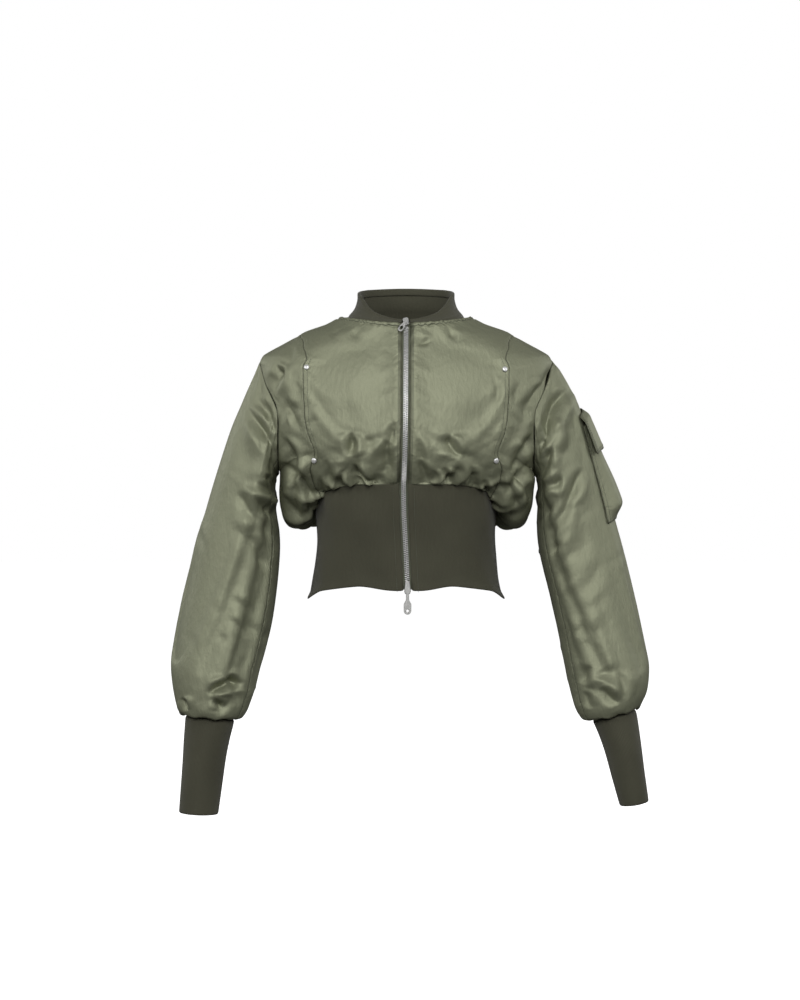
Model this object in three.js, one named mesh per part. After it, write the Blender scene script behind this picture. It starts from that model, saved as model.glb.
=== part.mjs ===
// Cropped padded bomber jacket, filled out and hollow, with the wearer's front towards -Y.
// Millimetres, +Z up. The origin lies between the two points where collar meets shoulder.
import * as THREE from 'three';

const SHELL_WALL = 3;
const RIB_WALL = 2.2;
const COLLAR_WALL = 2.6;
const POCKET_WALL = 1.6;
const FLAP_INSET = 0.13;
const SEAM_GAP = 0.4;
const RAD = Math.PI / 180;

// Rings of the body from the waist seam, round the overhang, up to the neck.
// front, side, back: heights. half: half width. fore, aft: depths. turn: angle where the side height begins.
// armF, armB: where the armhole cuts the ring. seam: where the front seam crosses it.
const BODY = [
  { front: -232, side: -249, back: -249, half: 127.5, fore: 99.6, aft: 92, turn: 25, armF: 90, armB: 90, seam: 66 },
  { front: -227, side: -271, back: -272, half: 133, fore: 101.8, aft: 100, turn: 36, armF: 90, armB: 90, seam: 60 },
  { front: -221, side: -287.5, back: -289, half: 149, fore: 105.5, aft: 114, turn: 38, armF: 90, armB: 90, seam: 54 },
  { front: -214, side: -283, back: -285, half: 166, fore: 110, aft: 130, turn: 38, armF: 90, armB: 90, seam: 48 },
  { front: -206, side: -264, back: -266, half: 175.5, fore: 114, aft: 137, turn: 34, armF: 90, armB: 90, seam: 45 },
  { front: -197, side: -243, back: -243, half: 177.5, fore: 117.5, aft: 136, turn: 28, armF: 90, armB: 90, seam: 43.5 },
  { front: -187, side: -226, back: -221, half: 176.5, fore: 120, aft: 131, turn: 20, armF: 90, armB: 90, seam: 42.5 },
  { front: -177, side: -213, back: -202, half: 176.5, fore: 121, aft: 126, turn: 12, armF: 90, armB: 90, seam: 42 },
  { front: -167.5, side: -210.2, back: -189.5, half: 179, fore: 121.5, aft: 122.5, turn: 6, armF: 80, armB: 99, seam: 41.5 },
  { front: -158, side: -202, back: -177, half: 184.5, fore: 121.5, aft: 119.5, turn: 2, armF: 71.5, armB: 107, seam: 41 },
  { front: -148.5, side: -189, back: -165, half: 191, fore: 121, aft: 117, turn: 0, armF: 65.5, armB: 113, seam: 40.8 },
  { front: -139, side: -172, back: -153, half: 197, fore: 120, aft: 114.5, turn: 0, armF: 61.5, armB: 117, seam: 40.6 },
  { front: -129.5, side: -152, back: -141, half: 200, fore: 118.5, aft: 112, turn: 0, armF: 59.5, armB: 119, seam: 40.6 },
  { front: -120, side: -131, back: -129, half: 201, fore: 117, aft: 109.5, turn: 0, armF: 60, armB: 119, seam: 40.6 },
  { front: -110.5, side: -110, back: -117, half: 204, fore: 115, aft: 107, turn: 0, armF: 63.5, armB: 116, seam: 40.2 },
  { front: -101, side: -90, back: -105, half: 206, fore: 112.5, aft: 104, turn: 0, armF: 69, armB: 111, seam: 39.8 },
  { front: -91.5, side: -73, back: -93, half: 206.5, fore: 109.5, aft: 101, turn: 0, armF: 74, armB: 106, seam: 39.7 },
  { front: -82, side: -61.5, back: -81, half: 206.5, fore: 106.5, aft: 98, turn: 0, armF: 79, armB: 101, seam: 39.8 },
  { front: -72.5, side: -54.5, back: -69, half: 206, fore: 103.5, aft: 94.5, turn: 0, armF: 84.5, armB: 95.5, seam: 40 },
  { front: -63, side: -52, back: -57, half: 205, fore: 100, aft: 91, turn: 0, armF: 90, armB: 90, seam: 40.4 },
  { front: -52, side: -38, back: -43, half: 184, fore: 95.5, aft: 86, turn: 0, armF: 90, armB: 90, seam: 47.5 },
  { front: -41, side: -27, back: -31, half: 163, fore: 90.5, aft: 80.5, turn: 0, armF: 90, armB: 90, seam: 58.5 },
  { front: -30, side: -17.5, back: -19, half: 143, fore: 85, aft: 74, turn: 0, armF: 90, armB: 90, seam: 89.2 },
  { front: -18.5, side: -7, back: -6, half: 115, fore: 80, aft: 66, turn: 0, armF: 90, armB: 90, seam: 90 },
  { front: -8, side: 3.5, back: 8, half: 88.5, fore: 75.5, aft: 57, turn: 0, armF: 90, armB: 90, seam: 90 },
];
const UNDERARM_RING = 7;
const TIP_RING = 19;
const SEAM_END_RING = 22;

// Rings of the rib waistband from its seam down to the hem.
const WAIST = [
  { front: -232.5, side: -249.5, back: -249.5, half: 126.8, fore: 99, aft: 91.5, turn: 25 },
  { front: -258, side: -273, back: -272, half: 126, fore: 97.4, aft: 91, turn: 20 },
  { front: -290, side: -305, back: -301, half: 124.5, fore: 95, aft: 90, turn: 10 },
  { front: -322, side: -338, back: -331, half: 127, fore: 93.5, aft: 89, turn: 0 },
  { front: -352, side: -367, back: -358, half: 131, fore: 93.5, aft: 89, turn: 0 },
  { front: -376, side: -390, back: -380, half: 135, fore: 95, aft: 90, turn: 0 },
];

// Height of the rib collar round the neck, by angle from the centre front.
const COLLAR = [
  { angle: 0, height: 3 },
  { angle: 8, height: 4 },
  { angle: 20, height: 7 },
  { angle: 35, height: 11.5 },
  { angle: 48, height: 18 },
  { angle: 62, height: 27 },
  { angle: 76, height: 35 },
  { angle: 95, height: 37.5 },
  { angle: 180, height: 39 },
];
const COLLAR_LEAN = 0.25;
const COLLAR_LEAN_HEIGHT = 9;
const COLLAR_ROWS = 5;

// Sections of the two sleeves from shoulder to rib seam.
// ox, oz: outer line. ix, iz: inner line. y: centre. fore, aft: half depths. keep: share of the armhole's form.
const SLEEVE_RIGHT = [
  { ox: 205, oz: -52, ix: 176.5, iz: -213, y: 0, fore: 66, aft: 60, keep: 1 },
  { ox: 214, oz: -67, ix: 180.7, iz: -220, y: 1, fore: 68, aft: 62, keep: 0.8 },
  { ox: 224.5, oz: -86.5, ix: 182.2, iz: -229, y: 2, fore: 70, aft: 65, keep: 0.6 },
  { ox: 237.5, oz: -117.5, ix: 182.8, iz: -241, y: 3, fore: 71, aft: 67, keep: 0.4 },
  { ox: 251, oz: -151, ix: 182.4, iz: -255, y: 3, fore: 71, aft: 68, keep: 0.24 },
  { ox: 267, oz: -201, ix: 180.6, iz: -273, y: 2, fore: 70, aft: 68, keep: 0.12 },
  { ox: 281.5, oz: -250.5, ix: 177, iz: -297, y: 0, fore: 68, aft: 67, keep: 0.04 },
  { ox: 294.5, oz: -301, ix: 176.2, iz: -326, y: -5, fore: 66, aft: 66, keep: 0 },
  { ox: 305.5, oz: -356.5, ix: 179.3, iz: -369, y: -12, fore: 64, aft: 65, keep: 0 },
  { ox: 316, oz: -406.5, ix: 185.8, iz: -419, y: -21, fore: 62, aft: 64, keep: 0 },
  { ox: 323.5, oz: -454.5, ix: 195, iz: -460, y: -31, fore: 60, aft: 62, keep: 0 },
  { ox: 325.5, oz: -480.5, ix: 202.3, iz: -486, y: -37, fore: 58, aft: 60, keep: 0 },
  { ox: 323.5, oz: -503.5, ix: 208, iz: -510.5, y: -42, fore: 55, aft: 57, keep: 0 },
  { ox: 319.5, oz: -524, ix: 214.7, iz: -531, y: -47, fore: 50, aft: 52, keep: 0 },
  { ox: 316, oz: -536, ix: 220, iz: -544, y: -50, fore: 46, aft: 47, keep: 0 },
  { ox: 311, oz: -544.8, ix: 227.5, iz: -553, y: -52, fore: 40, aft: 41, keep: 0 },
  { ox: 303.2, oz: -545.4, ix: 236.4, iz: -551.6, y: -53, fore: 33, aft: 34, keep: 0 },
];
const SLEEVE_LEFT = [
  { ox: 205, oz: -52, ix: 176.5, iz: -213, y: 0, fore: 66, aft: 60, keep: 1 },
  { ox: 216.5, oz: -65, ix: 181.8, iz: -221, y: 1, fore: 68, aft: 62, keep: 0.8 },
  { ox: 227.5, oz: -84, ix: 183.8, iz: -231, y: 2, fore: 70, aft: 65, keep: 0.6 },
  { ox: 239.5, oz: -110.5, ix: 184.4, iz: -243.5, y: 3, fore: 71, aft: 67, keep: 0.4 },
  { ox: 251.5, oz: -144, ix: 184, iz: -259, y: 3, fore: 71, aft: 68, keep: 0.24 },
  { ox: 266, oz: -191.7, ix: 183.2, iz: -280, y: 2, fore: 70, aft: 68, keep: 0.12 },
  { ox: 281, oz: -239.5, ix: 184.2, iz: -306.5, y: 0, fore: 68, aft: 67, keep: 0.04 },
  { ox: 295.7, oz: -292.5, ix: 188.8, iz: -336, y: -5, fore: 66, aft: 66, keep: 0 },
  { ox: 310.4, oz: -348.3, ix: 199.5, iz: -380.4, y: -12, fore: 64, aft: 65, keep: 0 },
  { ox: 322, oz: -401, ix: 210, iz: -428.7, y: -21, fore: 62, aft: 64, keep: 0 },
  { ox: 330.8, oz: -447.5, ix: 219, iz: -476.7, y: -31, fore: 60, aft: 62, keep: 0 },
  { ox: 335.7, oz: -475, ix: 224.2, iz: -502.6, y: -37, fore: 58, aft: 60, keep: 0 },
  { ox: 335.5, oz: -495.3, ix: 228.6, iz: -521.5, y: -42, fore: 55, aft: 57, keep: 0 },
  { ox: 332.5, oz: -514.2, ix: 233, iz: -537.7, y: -47, fore: 50, aft: 52, keep: 0 },
  { ox: 326.6, oz: -527.8, ix: 238.4, iz: -548.4, y: -50, fore: 46, aft: 47, keep: 0 },
  { ox: 321, oz: -536.5, ix: 245, iz: -555, y: -52, fore: 40, aft: 41, keep: 0 },
  { ox: 315, oz: -538.5, ix: 256, iz: -553.2, y: -53, fore: 33, aft: 34, keep: 0 },
];
// Sections of the rib cuffs below the seam, down to the wrist.
const CUFF_RIGHT = [
  { ox: 304, oz: -560, ix: 237.5, iz: -563, y: -55, fore: 32.5, aft: 33 },
  { ox: 305.5, oz: -583, ix: 242.5, iz: -583, y: -62, fore: 31, aft: 31 },
  { ox: 307, oz: -610, ix: 247.5, iz: -608, y: -69, fore: 29.5, aft: 29.5 },
  { ox: 308.5, oz: -644, ix: 252, iz: -644, y: -78, fore: 28, aft: 28 },
  { ox: 309.6, oz: -677.4, ix: 256, iz: -680, y: -86, fore: 27, aft: 27 },
];
const CUFF_LEFT = [
  { ox: 317.5, oz: -549, ix: 259.5, iz: -563, y: -55, fore: 32.5, aft: 33 },
  { ox: 320.5, oz: -570, ix: 266.5, iz: -580, y: -62, fore: 31, aft: 31 },
  { ox: 323.4, oz: -592, ix: 273.5, iz: -600, y: -69, fore: 29.5, aft: 29.5 },
  { ox: 327, oz: -628, ix: 282.5, iz: -635, y: -78, fore: 28, aft: 28 },
  { ox: 330.4, oz: -662, ix: 291, iz: -668.5, y: -86, fore: 27, aft: 27 },
];
const SLEEVE_STEPS = [0, 1, 2, 3, 4, 5, 6, 6.7, 7.4, 8.1, 8.8, 9.5, 10.2, 10.9, 11.5, 12.1, 12.7, 13.3, 13.9,
  14.5, 15, 15.5, 16];
const SLEEVE_COLUMNS = 24;
const UNDER_FROM = 10;
const UNDER_TO = 14;

// Main folds of the body: x, z of the middle, lean from upright, length, width, and rise (+) or sink (-).
const FRONT_FOLDS = [
  { x: -69, z: -182, lean: 28, length: 62, width: 11, rise: -5 },
  { x: -58, z: -206, lean: 14, length: 52, width: 10, rise: 4 },
  { x: -18, z: -176, lean: -20, length: 70, width: 11, rise: -4 },
  { x: -152, z: -205, lean: 38, length: 74, width: 12, rise: -5 },
  { x: 50, z: -198, lean: 34, length: 72, width: 12, rise: -5 },
  { x: 84, z: -214, lean: 46, length: 60, width: 12, rise: 4 },
  { x: 158, z: -108, lean: 58, length: 46, width: 10, rise: -4 },
  { x: 138, z: -200, lean: -32, length: 64, width: 12, rise: -4 },
  { x: 28, z: -34, lean: -62, length: 44, width: 9, rise: -3 },
  { x: -168, z: -82, lean: 14, length: 60, width: 10, rise: -3 },
];
const BACK_FOLDS = [
  { x: -92, z: -196, lean: 36, length: 96, width: 15, rise: -6 },
  { x: 104, z: -188, lean: -31, length: 108, width: 14, rise: -6 },
  { x: 12, z: -214, lean: 8, length: 78, width: 14, rise: -5 },
  { x: -142, z: -128, lean: 62, length: 72, width: 13, rise: -4 },
  { x: 148, z: -138, lean: -55, length: 66, width: 13, rise: -4 },
  { x: -38, z: -50, lean: 82, length: 88, width: 15, rise: -3 },
  { x: 58, z: -92, lean: 70, length: 84, width: 17, rise: 3 },
];
// Main folds of the sleeves: step along, angle round (0 outer, 90 front), lean, length, width, rise.
const RIGHT_SLEEVE_FOLDS = [
  { step: 3.2, angle: 118, lean: 52, length: 84, width: 12, rise: -5 },
  { step: 5.6, angle: 70, lean: 63, length: 92, width: 13, rise: -5 },
  { step: 8.2, angle: 96, lean: 34, length: 96, width: 14, rise: -4 },
  { step: 10.2, angle: 22, lean: 74, length: 78, width: 13, rise: 4 },
  { step: 12.6, angle: 112, lean: 78, length: 66, width: 11, rise: -7 },
  { step: 13.5, angle: 92, lean: 60, length: 56, width: 10, rise: 5 },
  { step: 12.4, angle: 208, lean: 66, length: 70, width: 12, rise: -5 },
  { step: 7.2, angle: 262, lean: 58, length: 98, width: 15, rise: -6 },
  { step: 10.4, angle: 294, lean: 70, length: 84, width: 13, rise: -5 },
];
const LEFT_SLEEVE_FOLDS = [
  { step: 2.6, angle: 92, lean: -28, length: 88, width: 12, rise: -5 },
  { step: 6.2, angle: 104, lean: -36, length: 76, width: 12, rise: -5 },
  { step: 9.1, angle: 66, lean: -42, length: 70, width: 13, rise: -4 },
  { step: 11.6, angle: 84, lean: -56, length: 66, width: 12, rise: -4 },
  { step: 12.9, angle: 70, lean: -64, length: 58, width: 10, rise: 5 },
  { step: 13.4, angle: 128, lean: -72, length: 52, width: 10, rise: -6 },
  { step: 8.4, angle: 252, lean: -58, length: 98, width: 15, rise: -6 },
  { step: 11.2, angle: 288, lean: -70, length: 82, width: 13, rise: -5 },
];
// Gathers where the shell is drawn in: count of waves round the ring, depth and reach.
const WAIST_GATHERS = { count: 19, depth: 2.2, reach: 3.6 };
const WRIST_GATHERS = { count: 7, depth: 2, reach: 2.6 };

// Bend of the closed front: height, and how far the zip line stands off the middle.
const ZIP_LINE = [
  { z: -390, x: 2.6 },
  { z: -352, x: 1 },
  { z: -306, x: -1.2 },
  { z: -273, x: -3 },
  { z: -233, x: -3.6 },
  { z: -194, x: -1.9 },
  { z: -144, x: -0.8 },
  { z: 12, x: 0 },
];
const ZIP_REACH = 70;
const FOLD_CLEAR = 26;
const FRONT_EDGE = 7;
const TAPE = { inner: 1.4, outer: 15, front: 4.5, back: 5.5 };
const CHAIN = { half: 3.1, crown: 2.2, front: 1, back: 3.7 };
const ZIP_TOP = -11;
const ZIP_BOTTOM = -374;
const ZIP_SECTIONS = 40;
const TOP_SLIDER = { z: -9, half: 4.2, length: 11, thick: 5.2, roll: 14 };
const LOW_SLIDER = { z: -371, half: 4.6, length: 18, thick: 5.4, roll: 180 };
// drop: from the slider's middle down to the pull's pivot. end: metal above the pivot.
const TOP_PULL = { length: 18.5, neck: 4.4, width: 7.4, thick: 1.5, swing: 31, drop: 0.5, end: 0.6 };
const LOW_PULL = { length: 29, neck: 4.4, width: 10.4, thick: 1.6, swing: 0, drop: 8, end: 0.6 };
const TOP_PULL_HOLE = { down: 12.4, across: 2, along: 3.4 };
const LOW_PULL_HOLE = { down: 23.8, across: 1.8, along: 1.8 };
const SEAT = 0.3;

const RIVETS = [
  { name: 'rivet_upper_right', x: -135.4, z: -71.2 },
  { name: 'rivet_lower_right', x: -124.8, z: -198.2 },
  { name: 'rivet_upper_left', x: 134.2, z: -74 },
  { name: 'rivet_lower_left', x: 121.9, z: -198.3 },
];
const RIVET = { radius: 3.9, rim: 0.8, crown: 1.9, sides: 14 };

// Pocket on the left sleeve: from and to along the sleeve and round it, and how far it stands off.
const POCKET = { top: 3.9, foot: 6.75, fore: 34, aft: -50, flare: 9, mouth: 5, belly: 17, columns: 12, rows: 12 };
const FLAP = { top: 3.45, foot: 4.8, fore: 37, aft: -53, flare: 2, lift: 2.4, columns: 12, rows: 6 };

const COLOURS = { shell: 0x747a62, rib: 0x48483a, tape: 0x5d6150, metal: 0xc9cbcd };
const shellMaterial = new THREE.MeshStandardMaterial({ color: COLOURS.shell, roughness: 0.5, name: 'shell' });
const ribMaterial = new THREE.MeshStandardMaterial({ color: COLOURS.rib, roughness: 0.95, name: 'rib' });
const tapeMaterial = new THREE.MeshStandardMaterial({ color: COLOURS.tape, roughness: 0.9, name: 'tape' });
const metalMaterial = new THREE.MeshStandardMaterial({
  color: COLOURS.metal, roughness: 0.3, metalness: 1, name: 'metal',
});

const group = new THREE.Group();
group.name = 'bomber_jacket';

const clamp = (value, low, high) => Math.min(high, Math.max(low, value));
const lerp = (a, b, t) => a + (b - a) * t;

/** Eases from 0 at low to 1 at high. */
function ease(low, high, value) {
  const t = clamp((value - low) / (high - low), 0, 1);
  return t * t * (3 - 2 * t);
}

/** Catmull-Rom value of one column of a table at a fractional row. */
function column(rows, key, at) {
  const s = clamp(at, 0, rows.length - 1);
  const i = Math.min(Math.floor(s), rows.length - 2);
  const t = s - i;
  const b = rows[i][key];
  const c = rows[i + 1][key];
  const a = i > 0 ? rows[i - 1][key] : 2 * b - c;
  const d = i + 2 < rows.length ? rows[i + 2][key] : 2 * c - b;
  const m0 = (c - a) / 2;
  const m1 = (d - b) / 2;
  const t2 = t * t;
  const t3 = t2 * t;
  return (2 * t3 - 3 * t2 + 1) * b + (t3 - 2 * t2 + t) * m0 + (3 * t2 - 2 * t3) * c + (t3 - t2) * m1;
}

/** Straight-line value of a table whose rows rise in the key's column. */
function lookup(rows, key, out, value) {
  let i = 0;
  while (i < rows.length - 2 && value > rows[i + 1][key]) {
    i += 1;
  }
  const t = clamp((value - rows[i][key]) / (rows[i + 1][key] - rows[i][key]), 0, 1);
  return lerp(rows[i][out], rows[i + 1][out], t);
}

const zipLine = (z) => lookup(ZIP_LINE, 'z', 'x', z);

/** Sum of the folds near a point, each a soft ridge or trough with tapering ends. */
function foldHeight(folds, across, up) {
  let height = 0;
  for (const fold of folds) {
    const dx = across - fold.x;
    const dz = up - fold.z;
    const along = dz * Math.cos(fold.lean * RAD) - dx * Math.sin(fold.lean * RAD);
    const side = dx * Math.cos(fold.lean * RAD) + dz * Math.sin(fold.lean * RAD);
    const span = clamp(1 - (2 * along / fold.length) ** 2, 0, 1);
    height += fold.rise * span * span * Math.exp(-((side / fold.width) ** 2));
  }
  return height;
}

/** Point of a body or waistband ring at an angle from the centre front, positive towards the wearer's left. */
function ringPoint(row, degrees) {
  const power = 2 / 2.35;
  const sine = Math.sin(degrees * RAD);
  const cosine = Math.cos(degrees * RAD);
  const depth = cosine > 0 ? -row.fore : row.aft;
  const z = cosine > 0
    ? lerp(row.front, row.side, ease(row.turn, 90, Math.abs(Math.atan2(sine, cosine)) / RAD))
    : lerp(row.back, row.side, ease(0, 90, Math.abs(180 - Math.abs(degrees))));
  const x = row.half * Math.sign(sine) * Math.abs(sine) ** power;
  const y = depth * Math.abs(cosine) ** power;
  const shift = cosine > 0 ? zipLine(z) * (1 - ease(0, ZIP_REACH, Math.abs(x))) : 0;
  return new THREE.Vector3(x + shift, y, z);
}

/** A row of a ring table at a fractional place. */
function rowAt(rows, at) {
  const row = {};
  for (const key of Object.keys(rows[0])) {
    row[key] = column(rows, key, at);
  }
  return row;
}

/** Angle at which a ring reaches the front edge beside the zip. */
function edgeAngle(row, reach) {
  return Math.asin(Math.min(1, reach / row.half) ** (2.35 / 2)) / RAD;
}

/** Unfolded outward direction of a surface given as a function of two numbers. */
function outward(surface, u, v, du, dv, lowV, highV) {
  const a = surface(u - du, v);
  const b = surface(u + du, v);
  const c = surface(u, Math.max(lowV, v - dv));
  const d = surface(u, Math.min(highV, v + dv));
  return b.sub(a).cross(d.sub(c)).normalize();
}

const bodyBase = (degrees, at) => ringPoint(rowAt(BODY, at), degrees);
const bodyNormal = (degrees, at) => outward(bodyBase, degrees, at, 0.5, 0.25, 0, BODY.length - 1);

/** Body surface with its folds and the gathers over the waist seam. */
function bodyPoint(degrees, at) {
  const base = bodyBase(degrees, at);
  const normal = bodyNormal(degrees, at);
  const inFront = Math.cos(degrees * RAD) > 0;
  const fade = ease(0.02, 0.3, Math.abs(Math.cos(degrees * RAD)));
  const folds = inFront ? FRONT_FOLDS : BACK_FOLDS;
  const edge = ease(0.2, 3, at) * ease(0.2, 2, BODY.length - 1 - at);
  const clear = inFront ? ease(FOLD_CLEAR, FOLD_CLEAR + 16, Math.abs(base.x)) : 1;
  let rise = foldHeight(folds, base.x, base.z) * fade * edge * clear;
  const wave = Math.sin(degrees * RAD * WAIST_GATHERS.count) + 0.6 * Math.sin(degrees * RAD * 11 + 1.3);
  const reach = ease(0.1, 1, at) * (1 - ease(WAIST_GATHERS.reach, WAIST_GATHERS.reach + 3, at));
  rise += WAIST_GATHERS.depth * wave * reach * ease(12, 40, Math.abs(degrees));
  return base.addScaledVector(normal, rise);
}

/** Loop of the armhole for one side, by angle round the sleeve: 0 at the shoulder, 90 at the front. */
function armholePlace(angle) {
  const turn = ((angle % 360) + 360) % 360;
  const climb = turn <= 180 ? 180 - turn : turn - 180;
  const at = UNDERARM_RING + (climb / 180) * (TIP_RING - UNDERARM_RING);
  const limit = turn <= 180 ? column(BODY, 'armF', at) : column(BODY, 'armB', at);
  return { degrees: limit, at };
}

/** Point on a sleeve, by step along and angle round. side is -1 for the right sleeve and +1 for the left. */
function sleeveBase(side, rows, step, angle) {
  const row = rowAt(rows, step);
  const outer = new THREE.Vector3(row.ox * side, row.y, row.oz);
  const inner = new THREE.Vector3(row.ix * side, row.y, row.iz);
  const middle = outer.clone().add(inner).multiplyScalar(0.5);
  const reach = outer.sub(inner).multiplyScalar(0.5);
  const cosine = Math.cos(angle * RAD);
  const sine = Math.sin(angle * RAD);
  const depth = sine > 0 ? row.fore : row.aft;
  const point = middle.addScaledVector(reach, cosine);
  point.y -= depth * sine;
  return point;
}

/** How far the true armhole departs from the first section's oval. */
function armholeOffset(side, rows, angle) {
  const place = armholePlace(angle);
  return bodyBase(place.degrees * side, place.at).sub(sleeveBase(side, rows, 0, angle));
}

/** Sleeve surface without folds. */
function sleeveForm(side, rows, step, angle) {
  const keep = rows[0].keep === undefined ? 0 : clamp(column(rows, 'keep', step), 0, 1);
  const point = sleeveBase(side, rows, step, angle);
  if (keep > 0) {
    point.addScaledVector(armholeOffset(side, rows, angle), keep);
  }
  return point;
}

/** Outward direction of a sleeve. */
function sleeveNormal(side, rows, step, angle) {
  const surface = (u, v) => sleeveForm(side, rows, v, u);
  return outward(surface, angle, step, 1, 0.25, 0, rows.length - 1).multiplyScalar(side);
}

/** Sleeve surface with folds and the gathers over the wrist seam. */
function sleevePoint(side, rows, folds, step, angle) {
  const point = sleeveForm(side, rows, step, angle);
  const last = rows.length - 1;
  const turn = ((angle % 360) + 360) % 360;
  let rise = 0;
  for (const fold of folds) {
    const round = ((turn - fold.angle + 540) % 360) - 180;
    const here = sleeveBase(side, rows, fold.step, 90).z;
    const across = round * RAD * 62;
    const down = (here - sleeveBase(side, rows, step, 90).z);
    const c = Math.cos(fold.lean * RAD);
    const s = Math.sin(fold.lean * RAD);
    const along = down * c + across * s;
    const away = across * c - down * s;
    const span = clamp(1 - (2 * along / fold.length) ** 2, 0, 1);
    rise += fold.rise * span * span * Math.exp(-((away / fold.width) ** 2));
  }
  rise *= ease(0.3, 2, step) * ease(0.4, 2, last - step);
  const wave = Math.sin(turn * RAD * WRIST_GATHERS.count) + 0.6 * Math.sin(turn * RAD * 4 + 0.9);
  rise += WRIST_GATHERS.depth * wave * ease(last - WRIST_GATHERS.reach - 1, last - 1.6, step)
    * ease(0.1, 0.9, last - step);
  return point.addScaledVector(sleeveNormal(side, rows, step, angle), rise);
}

/** Direction that halves the corner between body and sleeve at the armhole. */
function armholeNormal(side, rows, angle) {
  const place = armholePlace(angle);
  const bodyWay = bodyNormal(place.degrees * side, place.at);
  const sleeveWay = sleeveNormal(side, rows, 0, angle);
  const inwards = angle % 360 === 0 ? 1 : 0;
  const edge = bodyBase(place.degrees * side, place.at);
  const toward = place.degrees < 90 || (place.degrees === 90 && inwards) ? -4 : 4;
  const inner = bodyBase((place.degrees + toward) * side, place.at).sub(edge).normalize();
  const outer = sleeveForm(side, rows, 0.5, angle).sub(edge).normalize();
  const concave = Math.sign(bodyWay.dot(outer)) || 1;
  return bodyWay.add(sleeveWay).addScaledVector(inner.add(outer), 0.6 * concave).normalize();
}

/** Adds a closed mesh made from welded points and triangles. */
function addMesh(name, points, triangles, material) {
  const geometry = new THREE.BufferGeometry();
  const flat = [];
  for (const point of points) {
    flat.push(point.x, point.y, point.z);
  }
  geometry.setAttribute('position', new THREE.Float32BufferAttribute(flat, 3));
  geometry.setIndex(triangles);
  let volume = 0;
  for (let i = 0; i < triangles.length; i += 3) {
    const [a, b, c] = [points[triangles[i]], points[triangles[i + 1]], points[triangles[i + 2]]];
    volume += a.dot(b.clone().cross(c));
  }
  if (volume < 0) {
    for (let i = 0; i < triangles.length; i += 3) {
      [triangles[i], triangles[i + 1]] = [triangles[i + 1], triangles[i]];
    }
    geometry.setIndex(triangles);
  }
  geometry.computeVertexNormals();
  const mesh = new THREE.Mesh(geometry, material);
  mesh.name = name;
  group.add(mesh);
  return mesh;
}

/** Closes the space between an outer and an inner grid of points into one wall. swap turns a rim's diagonals. */
function addWall(name, outer, inner, ring, material, swap = () => false) {
  const rows = outer.length;
  const columns = outer[0].length;
  const points = [...outer.flat(), ...inner.flat()];
  const half = rows * columns;
  const triangles = [];
  const quad = (a, b, c, d) => triangles.push(a, b, c, a, c, d);
  const wide = ring ? columns : columns - 1;
  for (let i = 0; i < rows - 1; i += 1) {
    for (let j = 0; j < wide; j += 1) {
      const k = (j + 1) % columns;
      const corners = [i * columns + j, i * columns + k, (i + 1) * columns + k, (i + 1) * columns + j];
      quad(...corners);
      quad(...corners.map((n) => n + half).reverse());
    }
  }
  for (let j = 0; j < wide; j += 1) {
    const k = (j + 1) % columns;
    const top = (rows - 1) * columns;
    if (swap(j)) {
      quad(j, j + half, k + half, k);
    } else {
      quad(k, j, j + half, k + half);
    }
    quad(top + j, top + k, top + k + half, top + j + half);
  }
  if (!ring) {
    for (let i = 0; i < rows - 1; i += 1) {
      const left = i * columns;
      const right = i * columns + columns - 1;
      quad(left, left + columns, left + columns + half, left + half);
      quad(right, right + half, right + columns + half, right + columns);
    }
  }
  return addMesh(name, points, triangles, material);
}

/** Draws the named edges of a grid back from their seams. */
function trim(grid, edges, gap) {
  const rows = grid.length;
  const columns = grid[0].length;
  const pull = (point, other) => point.addScaledVector(other.clone().sub(point).normalize(), gap);
  if (edges.includes('left')) {
    grid.forEach((row) => pull(row[0], row[1]));
  }
  if (edges.includes('right')) {
    grid.forEach((row) => pull(row[columns - 1], row[columns - 2]));
  }
  if (edges.includes('first')) {
    grid[0].forEach((point, j) => pull(point, grid[1][j]));
  }
  if (edges.includes('last')) {
    grid[rows - 1].forEach((point, j) => pull(point, grid[rows - 2][j]));
  }
}

/** Builds one body panel between two limits that may change from ring to ring. */
function addBodyPanel(name, fromRing, toRing, limits, columns, corner) {
  const outer = [];
  const inner = [];
  for (let at = fromRing; at <= toRing; at += 1) {
    const row = BODY[at];
    const [low, high] = limits(row, at);
    const line = [];
    const back = [];
    for (let j = 0; j <= columns; j += 1) {
      const degrees = lerp(low, high, j / columns);
      const point = bodyPoint(degrees, at);
      const normal = corner(j === 0, j === columns, at) || bodyNormal(degrees, at);
      line.push(point);
      back.push(point.clone().addScaledVector(normal, -SHELL_WALL));
    }
    outer.push(line);
    inner.push(back);
  }
  for (const grid of [outer, inner]) {
    trim(grid, ['left', 'right'], SEAM_GAP / 2);
  }
  return addWall(name, outer, inner, false, shellMaterial);
}

/** Armhole corner direction at a ring, or nothing where the ring has no armhole. */
function cornerAt(side, at, front) {
  if (at < UNDERARM_RING || at > TIP_RING) {
    return null;
  }
  const climb = ((at - UNDERARM_RING) / (TIP_RING - UNDERARM_RING)) * 180;
  const angle = front ? 180 - climb : 180 + climb;
  return armholeNormal(side, side < 0 ? SLEEVE_RIGHT : SLEEVE_LEFT, angle);
}

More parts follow.
